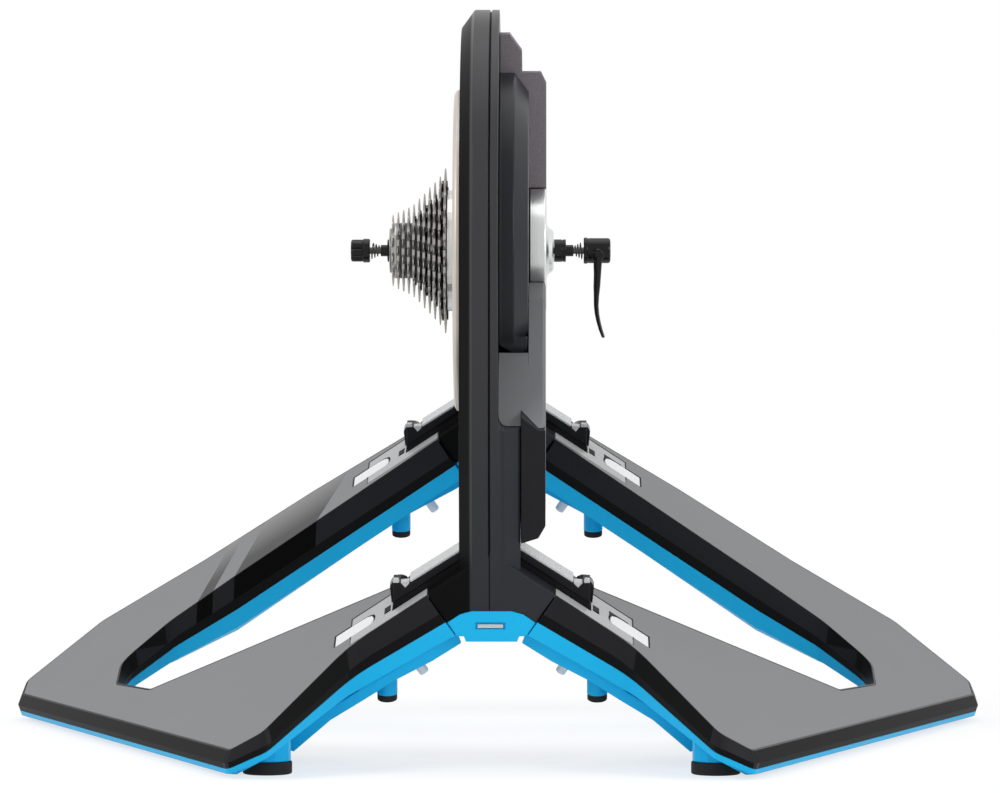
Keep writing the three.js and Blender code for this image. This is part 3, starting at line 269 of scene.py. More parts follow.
def show(name, shape, finish, body, slot, *stands_for, edge=0.0, turn=27):
    """A finished piece from a bmesh in metres, with its sharp edges rounded to edge millimetres."""
    mesh = bpy.data.meshes.new(name)
    shape.to_mesh(mesh)
    shape.free()
    mesh.shade_smooth()
    mesh.materials.append(finish.material)
    piece = linked(name, mesh)
    if edge:
        rounding = piece.modifiers.new("rounding", "BEVEL")
        rounding.width, rounding.segments = edge * MM, 3
        rounding.limit_method, rounding.angle_limit = "ANGLE", math.radians(turn)
        rounding.harden_normals = True
    else:
        mesh.set_sharp_from_angle(angle=math.radians(turn))
    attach(piece, body)
    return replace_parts(piece, *stands_for) if stands_for else piece


def moulded(name, grain_mm, depth_mm, dark, light, rough, soft_mm=0.0, speckle=0.0, **plain):
    """Moulded plastic: a fine sparked grain, a slight drift of tone, and gloss that varies with both."""
    made = Finish(name, **plain)
    grain = made.noise(1000 / grain_mm, 3.0)
    drift = made.noise(14.0, 3.0)
    made.colour = made.mix(drift * (1 - speckle) + grain * speckle, dark, light)
    made.feeds(Base_Color=made.colour, Roughness=made.ranged(grain + drift, 0.6, 1.4, *rough))
    return made.bump(grain, depth_mm, soft_mm)


# The casings' black goes over into slate on the front and up the column as a painted highlight, and into dull black
# beside the column and in the seam as painted shade: millimetres to the right of the seam, and metres above the floor.
SHADE_BESIDE_FROM, SHADE_BESIDE_TO, SEAM_SHADE_HALF, LIT_COLUMN_RIGHT = -14.6, -13.2, 0.45, 8.0
LIT_COLUMN_FOOT, LIT_COLUMN_TOP = 0.12, 0.34
casing_black = moulded("casing_black", 0.5, 0.02, (0.013, 0.014, 0.017, 1), (0.022, 0.024, 0.029, 1),
                       (0.3, 0.4), soft_mm=0.9, Specular_IOR_Level=0.2)
across = (casing_black.part(casing_black.place(), 0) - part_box("brake_side_shell")[0][0]) * 1000
height = casing_black.part(casing_black.place(), 2)
# Painted highlight: up the column's front the black grows lighter, towards slate, as the light falls on it.
lit_column_share = casing_black.ranged(height, LIT_COLUMN_FOOT, LIT_COLUMN_TOP) * (across < LIT_COLUMN_RIGHT)
# Painted shade: beside the column the drive side is painted a darker black, as it lies turned from the light.
beside = casing_black.ranged(across, SHADE_BESIDE_FROM, SHADE_BESIDE_TO, 1.0, 0.0)
# Painted shade: a thin black line along the seam, where the groove lies in shadow.
seam_shade = across.math("ABSOLUTE") < SEAM_SHADE_HALF
painted_highlight_colour = casing_black.mix(lit_column_share, casing_black.colour, (0.036, 0.036, 0.039, 1))
casing_black.feeds(Base_Color=casing_black.mix(beside | seam_shade, painted_highlight_colour, grey(0.003)))
# Painted shade beside the column: a darker black with less gloss.
casing_black.overlaid(beside, Base_Color=grey(0.004), Roughness=0.4, Specular_IOR_Level=0.04)
for node in ("drive_side_shell", "brake_side_shell"):
    show(node + "_finished", copied(node), casing_black, "body", "casing_black", node, edge=0.8)

# Bottom cover: the blue moulding that closes the saddle from below, screwed to both shells.
# A clip of clear grey plastic lies in a slot in its front face.
blue_plastic = moulded("blue_plastic", 0.6, 0.012, tone(8, 176, 230), tone(18, 186, 240), (0.36, 0.46),
                       soft_mm=1.2, Specular_IOR_Level=0.2)
clear_grey = moulded("clear_grey", 0.5, 0.01, tone(212, 214, 215), tone(228, 230, 231), (0.2, 0.32),
                     Transmission_Weight=0.25, IOR=1.45)
CLIP_SLOT = ((-11.2, -209.6, -219.8), (9.6, -207.0, -214.8))
CLIP = ((-9.8, -208.3, -219.1), (8.2, -207.0, -216.3))


def block(low, high):
    """A plain box between two corners, in millimetres, as a start for other shapes."""
    shape = bmesh.new()
    size = [b - a for a, b in zip(low, high)]
    middle = [(a + b) / 2 for a, b in zip(low, high)]
    bmesh.ops.create_cube(shape, size=1, matrix=Matrix.Translation(middle) @ Matrix.Diagonal((*size, 1)))
    return shape


def stood(shape, place=standing):
    """A shape made in millimetres, put in its place in metres."""
    shape.transform(place)
    bmesh.ops.recalc_face_normals(shape, faces=shape.faces)
    return shape


def carved(*shapes):
    """The first shape with all the others cut out of it."""
    pieces = []
    for part in shapes:
        mesh = bpy.data.meshes.new("part")
        part.to_mesh(mesh)
        part.free()
        pieces.append(linked("part", mesh))
    for cutter in pieces[1:]:
        cut = pieces[0].modifiers.new("cut", "BOOLEAN")
        cut.operation, cut.solver, cut.object = "DIFFERENCE", "EXACT", cutter
    left = bpy.data.meshes.new_from_object(pieces[0].evaluated_get(bpy.context.evaluated_depsgraph_get()))
    for piece in pieces:
        bpy.data.objects.remove(piece)
    whole = bmesh.new()
    whole.from_mesh(left)
    bpy.data.meshes.remove(left)
    return whole


show("bottom_cover_finished", carved(copied("bottom_cover"), stood(block(*CLIP_SLOT))), blue_plastic, "body", "blue",
     "bottom_cover", edge=0.5)
show("cover_clip", stood(block(*CLIP)), clear_grey, "body", "plate_grey", edge=0.4)


# Brake side casings: a smooth raised casing, a stepped cover in coarse spark-eroded charcoal behind it,
# a grey recess panel under both, and a black block low on the panel. All are screwed on from inside.
def joined(*shapes):
    """Several bmeshes as one."""
    whole = bmesh.new()
    for shape in shapes:
        part = bpy.data.meshes.new("part")
        shape.to_mesh(part)
        shape.free()
        whole.from_mesh(part)
        bpy.data.meshes.remove(part)
    return whole


def lofted(rings):
    """A skin over rings of points in millimetres, with its ends closed."""
    shape = bmesh.new()
    skin = [[shape.verts.new(p) for p in points] for points in rings]
    for first, second in zip(skin, skin[1:]):
        for k in range(len(first)):
            shape.faces.new((first[k], first[(k + 1) % len(first)], second[(k + 1) % len(first)], second[k]))
    shape.faces.new(skin[0])
    shape.faces.new(skin[-1])
    bmesh.ops.recalc_face_normals(shape, faces=shape.faces)
    return shape


def slab(section, front, back, way=1):
    """A section in X and Z drawn out along Y, in millimetres, mirrored to the other side where way is -1."""
    return lofted([[(way * x, y, z) for x, z in section] for y in (front, back)])


charcoal = moulded("textured_charcoal", 1.0, 0.16, tone(98, 92, 97), tone(158, 151, 157), (0.62, 0.8),
                   soft_mm=2.0, speckle=0.8, Specular_IOR_Level=0.25)
panel_grey = moulded("panel_grey", 0.6, 0.03, tone(110, 111, 114), tone(122, 123, 126), (0.5, 0.6),
                     Specular_IOR_Level=0.3)
BAND_TONES = ((0.009, 0.009, 0.011, 1), (0.014, 0.014, 0.017, 1))
band_black = moulded("band_black", 0.6, 0.015, *BAND_TONES, (0.24, 0.36), soft_mm=1.0, Specular_IOR_Level=0.12)
for node, finish, slot in (
    ("rear_cover", charcoal, "textured_charcoal"), ("lower_block", band_black, "band_black"),
):
    show(node + "_finished", copied(node), finish, "body", slot, node, edge=1.0)
# The raised casing ends in a slanted foot, and the panel's front rises into a narrow lip under it.
CASING_FOOT = ((5.4, -36.3), (14.9, -42), (25.2, -41.2), (25.2, -30), (5.4, -30))
CASING_FOOT_FRONT, CASING_FOOT_BACK = -126, -121.5
PANEL_LIP = ((-143, -47.6), (-133, -41.1), (-132.6, -39.4), (-122, -42.6), (-122, -55), (-143, -55))
PANEL_LEFT, PANEL_RIGHT = 4.9, 25.9
casing_foot = stood(slab(CASING_FOOT, CASING_FOOT_FRONT, CASING_FOOT_BACK))
show("raised_casing_finished", joined(copied("raised_casing"), casing_foot), casing_black, "body", "casing_black",
     "raised_casing", edge=1.0)
panel_lip = stood(lofted([[(x, y, z) for y, z in PANEL_LIP] for x in (PANEL_LEFT, PANEL_RIGHT)]))
show("recess_panel_finished", joined(copied("recess_panel"), panel_lip), panel_grey, "body", "panel_grey",
     "recess_panel", edge=1.0)


# Disc cover behind the cassette: a shallow dish of silver-painted metal, spun, with a rolled edge.
def circle(steps):
    """Angles evenly round a circle."""
    return [2 * math.pi * k / steps for k in range(steps)]


def turned(profile, sides=64):
    """A closed shape turned about X from (radius, x) pairs in millimetres, placed at the hub in metres."""
    shape = bmesh.new()
    ringed = profile[0] == profile[-1]
    rings = [
        [shape.verts.new((x, r * math.cos(a), r * math.sin(a))) for a in circle(sides)]
        if r else [shape.verts.new((x, 0, 0))]
        for r, x in (profile[:-1] if ringed else profile)
    ]
    for first, second in zip(rings, rings[1:] + rings[:1] if ringed else rings[1:]):
        for k in range(sides):
            corners = [first[k % len(first)], first[(k + 1) % len(first)],
                       second[(k + 1) % len(second)], second[k % len(second)]]
            if len(set(corners)) > 2:
                shape.faces.new(list(dict.fromkeys(corners)))
    return stood(shape)


def lathed(name, colour, rough, metal, ring_mm, depth_mm, **plain):
    """Turned metal: fine rings round the hub's axis, in height and in gloss."""
    made = Finish(name, Metallic=metal, **plain)
    where = made.from_hub()
    along = made.part(where, 0)
    across = made.add("ShaderNodeVectorMath", {"operation": "MULTIPLY"}, {0: where, 1: (0, 1, 1)})
    out = made.add("ShaderNodeVectorMath", {"operation": "LENGTH"}, {0: across}, out="Value")
    line = made.add("ShaderNodeTexNoise", {"noise_dimensions": "1D"}, {
        "W": (out + along * 0.7) * (1 / ring_mm / MM), "Detail": 2.0})
    cloud = made.noise(30.0)
    darker = tuple(c * 0.86 for c in colour[:3]) + (1,)
    made.feeds(Base_Color=made.mix(made.ranged(line + cloud, 0.6, 1.4), darker, colour),
               Roughness=made.ranged(line, 0.3, 0.7, *rough))
    return made.bump(line, depth_mm)


cover_silver = lathed("cover_silver", (0.66, 0.60, 0.53, 1), (0.38, 0.5), 0.55, 0.8, 0.006)
DISC_COVER = [
    (46, -23.1), (117, -23.1), (117, -25.6), (116, -27.0), (113.5, -28.2), (50, -28.2), (48, -27.4), (46, -27.4),
    (46, -23.1)]
show("disc_cover_finished", turned(DISC_COVER, 160), cover_silver, "body", "cover_silver", "drive_side_disc_cover",
     edge=0.4)

# Flywheel, brake and bearings: steel, laminated iron with copper windings, and ground bearing steel.
# They sit inside the shells, and only the hub's bolted flange shows behind the cassette.
hub_aluminium = lathed("hub_aluminium", (0.74, 0.76, 0.75, 1), (0.22, 0.38), 1.0, 0.3, 0.01)
ground_steel = lathed("ground_steel", (0.45, 0.45, 0.46, 1), (0.25, 0.4), 1.0, 0.4, 0.006)
copper = Finish("wound_copper", Metallic=0.8)
winding = copper.add("ShaderNodeTexWave", {"bands_direction": "X"}, {
    "Vector": copper.place(), "Scale": 160.0, "Distortion": 0.6})
copper.feeds(Base_Color=copper.mix(winding, (0.30, 0.10, 0.04, 1), (0.62, 0.26, 0.12, 1)),
             Roughness=copper.ranged(winding, 0, 1, 0.5, 0.3))
copper.bump(winding, 0.1)


def paint(finish, *nodes):
    """Gives CAD nodes whose own shape is shown a better material."""
    for node in nodes:
        for place in frame["nodes"][node].material_slots:
            place.material = finish.material


paint(ground_steel, "flywheel", "hub_bearing_left", "hub_bearing_right")
paint(hub_aluminium, "flywheel_hub")
paint(copper, "brake_stator")

# Axle, its end adapter and the brake-side hub flange: black-oxide steel, and bright turned aluminium.
black_steel = lathed("black_steel", (0.005, 0.005, 0.006, 1), (0.12, 0.22), 0.0, 0.3, 0.004, Specular_IOR_Level=0.22)
AXLE = [
    (3, -82.2), (3.8, -82.2), (4.2, -81.8), (4.2, -77.3), (7.6, -77.3), (8.25, -76.9), (8.25, -76.2), (8.3, -76.2),
    (8.3, 43.8), (3, 43.8), (3, -82.2)]
ADAPTER = [
    (3, 44.1), (8.0, 44.1), (8.25, 44.4), (8.25, 49.6), (7.9, 50.0), (7.9, 50.6), (8.25, 51.0), (8.25, 52.3),
    (7.9, 52.7), (4.2, 52.7), (4.2, 57.8), (3.8, 58.2), (3, 58.2), (3, 44.1)]
HUB_FLANGE = [
    (8.6, 2), (17.5, 2), (17.5, 26), (44.2, 26), (45, 26.8), (45, 37.4), (44.4, 38.3), (43.4, 38.6), (21, 38.6),
    (18.4, 39.2), (16.4, 40.6), (15.4, 42.4), (14.2, 43.4), (12.6, 43.8), (8.6, 43.8), (8.6, 2)]
show("axle_finished", turned(AXLE), black_steel, "body", "black_steel", "axle", edge=0.2)
show("brake_side_adapter_finished", turned(ADAPTER), black_steel, "body", "black_steel", "brake_side_adapter",
     edge=0.2)
show("hub_flange_finished", turned(HUB_FLANGE, 160), hub_aluminium, "body", "hub_aluminium", "brake_side_hub_flange",
     edge=0.3)

# Cassette: eleven stamped, nickel-plated sprockets. The larger ones are riveted to black carriers,
# the smaller ones are kept apart by black spacers, and all slide on the freehub's splines.
TEETH = (28, 25, 23, 21, 19, 17, 15, 14, 13, 12, 11)
PITCH, THICK, BORE = 12.7, 1.8, 17.7
BIG_X, STEP = -34.9, 3.82
ROOT_DEPTH, TOOTH_HEIGHT, SHOULDER, TIP_THINNING = 3.9, 7.3, 0.8, 0.62
FLANK_START, FLANK_END = 0.34, 0.86
POINTS_PER_TOOTH, STRIP_ROWS = 14, 7


class Growth(Nodes):
    """A Geometry Nodes tree with named inputs, ending in Realize Instances and Set Material."""

    def __init__(self, name, finish, **inputs):
        super().__init__(bpy.data.node_groups.new(name, "GeometryNodeTree"))
        kinds = {int: "NodeSocketInt", float: "NodeSocketFloat"}
        self.ids = {}
        self.tree.interface.new_socket("Geometry", in_out="OUTPUT", socket_type="NodeSocketGeometry")
        self.tree.interface.new_socket("Geometry", in_out="INPUT", socket_type="NodeSocketGeometry")
        for key, kind in inputs.items():
            self.ids[key] = self.tree.interface.new_socket(key, in_out="INPUT", socket_type=kinds[kind]).identifier
        self.start = self.tree.nodes.new("NodeGroupInput")
        self.finish = finish

    def given(self, key):
        return Out(self, self.start.outputs[key])

    def ends(self, geometry):
        real = self.add("GeometryNodeRealizeInstances", None, {0: geometry})
        coated = self.add("GeometryNodeSetMaterial", None, {"Geometry": real, "Material": self.finish.material})
        self.add("NodeGroupOutput", None, {"Geometry": coated})
        return self

    def grow(self, start=None, **values):
        """The tree's result on a start shape, as a bmesh in millimetres."""
        mesh = bpy.data.meshes.new("seed")
        if start:
            start.to_mesh(mesh)
            start.free()
        seed = linked("seed", mesh)
        growth = seed.modifiers.new("growth", "NODES")
        growth.node_group = self.tree
        for key, value in values.items():
            growth[self.ids[key]] = value
        grown = bpy.data.meshes.new_from_object(seed.evaluated_get(bpy.context.evaluated_depsgraph_get()))
        bpy.data.objects.remove(seed)
        shape = bmesh.new()
        shape.from_mesh(grown)
        for face in shape.faces:
            face.material_index = 0
        bpy.data.meshes.remove(grown)
        return shape


sprocket_nickel = lathed("sprocket_nickel", (0.40, 0.38, 0.365, 1), (0.2, 0.34), 1.0, 0.5, 0.006)
spacer_black = moulded("spacer_black", 0.5, 0.01, grey(0.006), grey(0.014), (0.25, 0.4))

# One sprocket: a strip is bent round the axis, its edge waved into teeth with a round seat between them,
# and each tooth thinned towards its tip as the real ones are chamfered for shifting. The strip's rows are the
# bore, the shoulder and the tip on the left face, the tip, the shoulder and the bore on the right, and the first again.
sprocket = Growth("sprocket", sprocket_nickel, Teeth=int, Bore=float, Thickness=float)
teeth, bore, thickness = (sprocket.given(key) for key in ("Teeth", "Bore", "Thickness"))
strip = sprocket.add("GeometryNodeMeshGrid", None, {
    "Size X": 1.0, "Size Y": 1.0, "Vertices X": teeth * POINTS_PER_TOOTH + 1, "Vertices Y": STRIP_ROWS})
u, v = (sprocket.part(sprocket.add("GeometryNodeInputPosition"), k) + 0.5 for k in (0, 1))
angle = u * (2 * math.pi)
row = (v * (STRIP_ROWS - 1)).math("ROUND")
from_tip = (row - 2.5).math("ABSOLUTE")
pitch_radius = PITCH / 2 / (math.pi / teeth).math("SINE")
phase = (u * teeth + 0.5).math("FRACT") - 0.5
tooth = sprocket.add("ShaderNodeMapRange", {"interpolation_type": "SMOOTHSTEP"}, {
    "Value": phase.math("ABSOLUTE") * 2, "From Min": FLANK_START, "From Max": FLANK_END})
root = pitch_radius - ROOT_DEPTH
radius = ((from_tip < 1) * (root + tooth * TOOTH_HEIGHT) + (from_tip > 1) * (from_tip < 2) * (root - SHOULDER)
          + (from_tip > 2) * bore)
face_side = 1 - ((row < 2.5) | (row > 5.5)) * 2
across = face_side * thickness * 0.5 * (1 - (from_tip < 1) * tooth * TIP_THINNING)
bent = sprocket.add("ShaderNodeCombineXYZ", None, {
    0: across, 1: radius * angle.math("COSINE"), 2: radius * angle.math("SINE")})
placed = sprocket.add("GeometryNodeSetPosition", None, {"Geometry": strip, "Position": bent})
sprocket.ends(sprocket.add("GeometryNodeMergeByDistance", None, {"Geometry": placed, "Distance": 0.001}))

# One ring: whatever it is given is repeated evenly about the X axis.
ring = Growth("ring", spacer_black, Count=int)
spots = ring.add("GeometryNodeMeshLine", None, {"Count": ring.given("Count"), "Offset": (0, 0, 0)})
swing = ring.add("GeometryNodeInputIndex") / ring.given("Count") * (2 * math.pi)
turn = ring.add("ShaderNodeCombineXYZ", None, {0: swing})
ring.ends(ring.add("GeometryNodeInstanceOnPoints", None, {
    "Points": spots, "Instance": ring.given("Geometry"), "Rotation": turn}))


def sprocket_x(i):
    return BIG_X - i * STEP


def sprocket_at(i, bore_radius):
    shape = sprocket.grow(Teeth=TEETH[i], Bore=float(bore_radius), Thickness=THICK)
    return stood(shape, standing @ Matrix.Translation((sprocket_x(i), 0, 0)))


def root_radius(i):
    return PITCH / 2 / math.sin(math.pi / TEETH[i]) - ROOT_DEPTH


# Each carrier is a tube with eight arms behind every sprocket, and sixteen ribs between it and the next one.
TUBE_RADIUS, TUBE_RIM, SPOKE_FOOT = 23.4, 21.5, 18
ARMS, ARM_HALF, ARM_FROM, ARM_TO, ARM_INSET, ARM_LEAST = 8, 4.4, 0.95, 1.8, 1.6, 21
RIBS, RIB_HALF, RIB_FROM, RIB_TO = 16, 3.4, -2.6, -0.95
RIB_REACH = {0: 51, 1: 30, 3: 33, 4: 24, 5: 21.5}
for name, first, last, web, end in (("sprockets_28_to_23", 0, 2, 7, 4.4), ("sprockets_21_to_15", 3, 6, 4.5, 0.4)):
    show(name + "_finished", joined(*(sprocket_at(i, root_radius(i) - web) for i in range(first, last + 1))),
         sprocket_nickel, "cassette", "sprocket_steel", name, turn=40)
    right, left = sprocket_x(first) + end, sprocket_x(last) - THICK / 2
    carrier = [turned([(BORE, left), (TUBE_RIM, left), (TUBE_RADIUS, left + 1), (TUBE_RADIUS, right), (BORE, right),
                       (BORE, left)])]
    for i in range(first, last + 1):
        x = sprocket_x(i)
        spokes = [(ARMS, x + ARM_FROM, x + ARM_TO, max(root_radius(i) - ARM_INSET, ARM_LEAST), ARM_HALF)]
        if i < last:
            spokes.append((RIBS, x + RIB_FROM, x + RIB_TO, RIB_REACH[i], RIB_HALF))
        for count, low, high, reach, half in spokes:
            carrier.append(stood(ring.grow(block((low, SPOKE_FOOT, -half), (high, reach, half)), Count=count)))
    show(name + "_carrier", joined(*carrier), spacer_black, "cassette", "sprocket_steel", edge=0.3)
for i in range(7, len(TEETH)):
    show(f"sprocket_{TEETH[i]}_finished", sprocket_at(i, BORE), sprocket_nickel, "cassette", "sprocket_steel",
         f"sprocket_{TEETH[i]}", turn=40)
# The outermost spacer is nickel-plated like the sprockets.
RIM, SPACER_LEFT, SPACER_RIGHT = 20.2, 1.2, -0.92
for i in range(6, len(TEETH) - 1):
    left, right = sprocket_x(i + 1) + SPACER_LEFT, sprocket_x(i) + SPACER_RIGHT
    show(f"spacer_{i}", turned([(BORE, left), (RIM, left), (RIM, right), (BORE, right), (BORE, left)]),
         spacer_black if i < 9 else sprocket_nickel, "cassette", "sprocket_steel", edge=0.25)
FREEHUB = [(8.6, -74.3), (16.3, -74.3), (16.3, -29.7), (8.6, -29.7), (8.6, -74.3)]
SPLINE = ((-74.1, 15.6, -1.7), (-32, 17.35, 1.7))
LOCK_RING = [(9.4, -75.7), (15.4, -75.7), (16.4, -75.2), (16.4, -74.6), (9.4, -74.6), (9.4, -75.7)]
splines = stood(ring.grow(block(*SPLINE), Count=9))
show("freehub_finished", joined(turned(FREEHUB), splines), hub_aluminium, "cassette", "steel", "freehub_body",
     edge=0.2)
show("lock_ring_finished", turned(LOCK_RING), sprocket_nickel, "cassette", "steel", "cassette_lock_ring", edge=0.2)

# Skewer: a steel rod with a black nut on one end and a cam housing with a curved lever on the other,
# and a conical spring wound of thin steel wire beside each of them.
wire_steel = lathed("wire_steel", (0.09, 0.088, 0.085, 1), (0.22, 0.32), 1.0, 0.5, 0.002)
SKEWER_ROD = [(0, -101), (2.0, -101), (2.4, -100.5), (2.4, 71.6), (2.0, 72), (0, 72)]
show("skewer_rod_finished", turned(SKEWER_ROD, 32), wire_steel, "skewer", "steel", "skewer_rod")


def spring(small_x, big_x, turns=3, wire=0.42, small=3.4, big=6.2, inset=0.8, steps=28):
    """A conical spring from its small end to its big one: a round wire wound about X, all in millimetres."""
    way = math.copysign(inset, big_x - small_x)
    start, end = small_x + way, big_x - way
    rings = []
    for k in range(turns * steps + 1):
        share = k / turns / steps
        angle = 2 * math.pi * turns * share
        centre, x = small + (big - small) * share, start + (end - start) * share
        section = [(x + wire * math.sin(a), centre + wire * math.cos(a)) for a in circle(8)]
        rings.append([(at, out * math.cos(angle), out * math.sin(angle)) for at, out in section])
    return stood(lofted(rings))


show("skewer_spring_left_finished", spring(-82.2, -90), wire_steel, "skewer", "steel", "skewer_spring_left", turn=60)
show("skewer_spring_right_finished", spring(58.2, 65.6), wire_steel, "skewer", "steel", "skewer_spring_right", turn=60)


def lobed(x, radius, groove):
    """A ring of the nut's grip: six shallow grooves for the fingers."""
    grooved = [(a, radius - groove * (1 - abs(math.cos(3 * a))) ** 2) for a in circle(96)]
    return [(x, r * math.cos(a), r * math.sin(a)) for a, r in grooved]


GRIP = ((-103.9, 6.6, 0.9), (-103.5, 7.6, 1.4), (-102.6, 8.1, 1.6), (-95.6, 8.1, 1.6), (-95.1, 7.8, 1.2))
NUT_COLLAR = [(2.8, -95.2), (8.2, -95.2), (8.7, -94.6), (8.7, -90.7), (8.1, -90.0), (2.8, -90.0), (2.8, -95.2)]
LEVER_HOUSING = [
    (2.8, 65.6), (9.0, 65.6), (9.6, 66.1), (9.6, 68.0), (9.1, 68.6), (9.1, 69.4), (9.2, 69.8), (9.2, 83.4), (8.6, 84.7),
    (7.2, 85.2), (0, 85.2), (0, 74), (2.8, 72.6), (2.8, 65.6)]
grip = stood(lofted([lobed(*station) for station in GRIP]))
show("skewer_nut_finished", joined(grip, turned(NUT_COLLAR)), black_steel, "skewer_nut", "black_steel",
     "skewer_nut", edge=0.15)
show("lever_housing_finished", turned(LEVER_HOUSING), black_steel, "skewer", "black_steel", "lever_housing",
     edge=0.2)
# The lever hangs from an eye on the cam's shaft and widens towards its tip, with its back a little flatter
# than its front: X, Z and half thickness down its length.
LEVER_PATH = [
    (76, -1, 3.2), (75.7, -8, 3.0), (75.6, -14, 2.7), (75.4, -19, 2.6), (75.2, -24, 2.5), (74.9, -31, 2.0),
    (74.8, -38, 1.8), (75.3, -44, 1.7), (76.4, -50, 1.6), (78.0, -56, 1.5), (79.8, -61.2, 1.35), (80.0, -62, 1.0)]
LEVER_Y, CAM_X = -12.2, 76
HALF_AT_EYE, WIDENING, HALF_AT_TIP, FLATTER = 2.0, 0.26, 2.6, 0.85
EYE_RADIUS, EYE_RINGS = 4.6, ((-14, 0.8), (-13.6, 0.95), (-13, 1), (-10.4, 1), (-9.9, 0.95))
SHAFT_RADIUS, SHAFT_ENDS = 3, (-10.2, 7)
stations = []
for i, (x, z, thick) in enumerate(LEVER_PATH):
    half = HALF_AT_EYE + i * WIDENING if i < len(LEVER_PATH) - 1 else HALF_AT_TIP
    stations.append([(x + thick * math.cos(a), LEVER_Y + half * math.sin(a) * (FLATTER if math.sin(a) > 0 else 1), z)
                     for a in circle(20)])
eye = [[(CAM_X + EYE_RADIUS * math.cos(a) * share, y, EYE_RADIUS * math.sin(a) * share) for a in circle(40)]
       for y, share in EYE_RINGS]
shaft = [[(CAM_X + SHAFT_RADIUS * math.cos(a), y, SHAFT_RADIUS * math.sin(a)) for a in circle(32)]
         for y in SHAFT_ENDS]
handle = stood(joined(lofted(stations), lofted(eye), lofted(shaft)))
show("skewer_lever_finished", handle, black_steel, "skewer_lever", "black_steel", "skewer_lever", turn=40)

# Outriggers: black cast rails that stand out from the body over each arm and carry its hinge, with the blue
# feet under them that the folded trainer stands on, each a moulded column with a rubber tip.
rail_black = moulded("rail_black", 0.8, 0.02, (0.005, 0.005, 0.006, 1), (0.009, 0.009, 0.011, 1), (0.34, 0.46),
                     soft_mm=1.0, Specular_IOR_Level=0.14)
rubber = moulded("rubber", 0.9, 0.05, grey(0.008), grey(0.016), (0.7, 0.85), Specular_IOR_Level=0.3)
ARM_CENTRES = {"near": -173, "far": 206}


def upright(profile, x, y, place=standing, sides=64):
    """A turned shape standing at a place, from (radius, z) pairs in millimetres."""
    rings = [[(x + r * math.cos(a), y + r * math.sin(a), z) for a in circle(sides)] for r, z in profile]
    return stood(lofted(rings), place)


# A ledge is cut along the front of each rail. On the rail lies a light grey pad, with a rubbery stop
# of the same plastic in its notch and on its hook: each one's depth along Y, and its section in X and Z.
LEDGE = [(20, -172.6), (71, -207.2), (71, -213.4), (20, -178.8)]
LEDGE_FRONT, LEDGE_BACK, PAD_FRONT = -20, -17.8, -18.7
RAIL_PADS = {
    "rail_pad": (18.3, [(9, -159.2), (57.0, -190.7), (57.8, -189.6), (57.2, -189.0), (9.7, -157.8), (9, -158.0)]),
    "notch_stop": (7, [(57.9, -191.6), (61, -194.7), (64, -191.3), (64, -190.4), (57.9, -189.9)]),
    "hook_cap": (4.6, [(65.2, -191.2), (69.3, -191.2), (69.3, -189.0), (68.9, -188.5), (65.6, -188.5), (65.2, -189.0)]),
}
STORAGE_X, COLUMN = 74.8, [(7.3, -280), (7.3, -243.3)]
STORAGE_TIP = [(6.2, -285), (6.9, -284.5), (7.1, -283.6), (7.1, -280.1)]
for side_name, way in (("right", 1), ("left", -1)):
    for place, centre in ARM_CENTRES.items():
        name = f"{place}_{side_name}"
        ledge = stood(slab(LEDGE, centre + LEDGE_FRONT, centre + LEDGE_BACK, way))
        show(name + "_outrigger_finished", carved(copied(name + "_outrigger"), ledge), rail_black, "body", "rail_black",
             name + "_outrigger", edge=0.5)
        for pad, (depth, section) in RAIL_PADS.items():
            front = centre + PAD_FRONT
            show(f"{name}_{pad}", stood(slab(section, front, front + depth, way)), clear_grey, "body", "plate_grey",
                 edge=0.35)
        show(name + "_storage_column", upright(COLUMN, way * STORAGE_X, centre), blue_plastic, "body", "blue",
             name + "_storage_foot", edge=0.3)
        show(name + "_storage_tip", upright(STORAGE_TIP, way * STORAGE_X, centre), rubber, "body", "rubber", edge=0.2)

# Wings: a black edge band that runs all round, a grey top skin let into it and a blue underside with a lip
# along each arm's front edge, all moulded and screwed together. Each wing stands on two rubber feet.
WING_TONES = (tone(112, 113, 115), tone(123, 124, 126))
# The film's edges slant: each lies so many millimetres out from the hub, less a share of the depth behind it.
WIDE_FILM, NARROW_FILM = ((0.265, 181.1), (0.205, 234.1)), ((0.19, 247.9), (0.2, 261.3))
# Where the film starts, and where its painted reflection fades from dark at the front to light at the back, in
# millimetres behind the hub, with the drift of that fade.
FILM_FROM, SHEEN_FROM, SHEEN_TO, SHEEN_DRIFT = 100, 184, 262, 12


def wrapped(name, tones, film_and_sheen_tones, **plain):
    """The left wing's far arm: a gloss film lies round it between two slanted edges, and a narrow one beside it. Over
    the film the tone fades from dark at the front to light at the back: a painted reflection.
    """
    made = moulded(name, 0.5, 0.02, *tones, (0.4, 0.5), **plain)
    where = made.from_hub()
    out = made.part(where, 0) * -1000
    deep = made.add("ShaderNodeVectorMath", {"operation": "DOT_PRODUCT"}, {
        0: where, 1: (0, math.cos(LEAN), math.sin(LEAN))}, out="Value") * 1000
    wide, narrow = ((out + deep * slant > start) * (out + deep * end_slant < end)
                    for (slant, start), (end_slant, end) in (WIDE_FILM, NARROW_FILM))
    # Painted reflection: the film grows lighter towards the back, with a slight drift.
    painted_sheen = made.ranged(deep + made.noise(14.0, 3.0) * SHEEN_DRIFT, SHEEN_FROM, SHEEN_TO)
    return made.overlaid((wide + narrow) * (deep > FILM_FROM), Base_Color=made.mix(painted_sheen, *film_and_sheen_tones), Roughness=0.14,
                         Specular_IOR_Level=0.03)


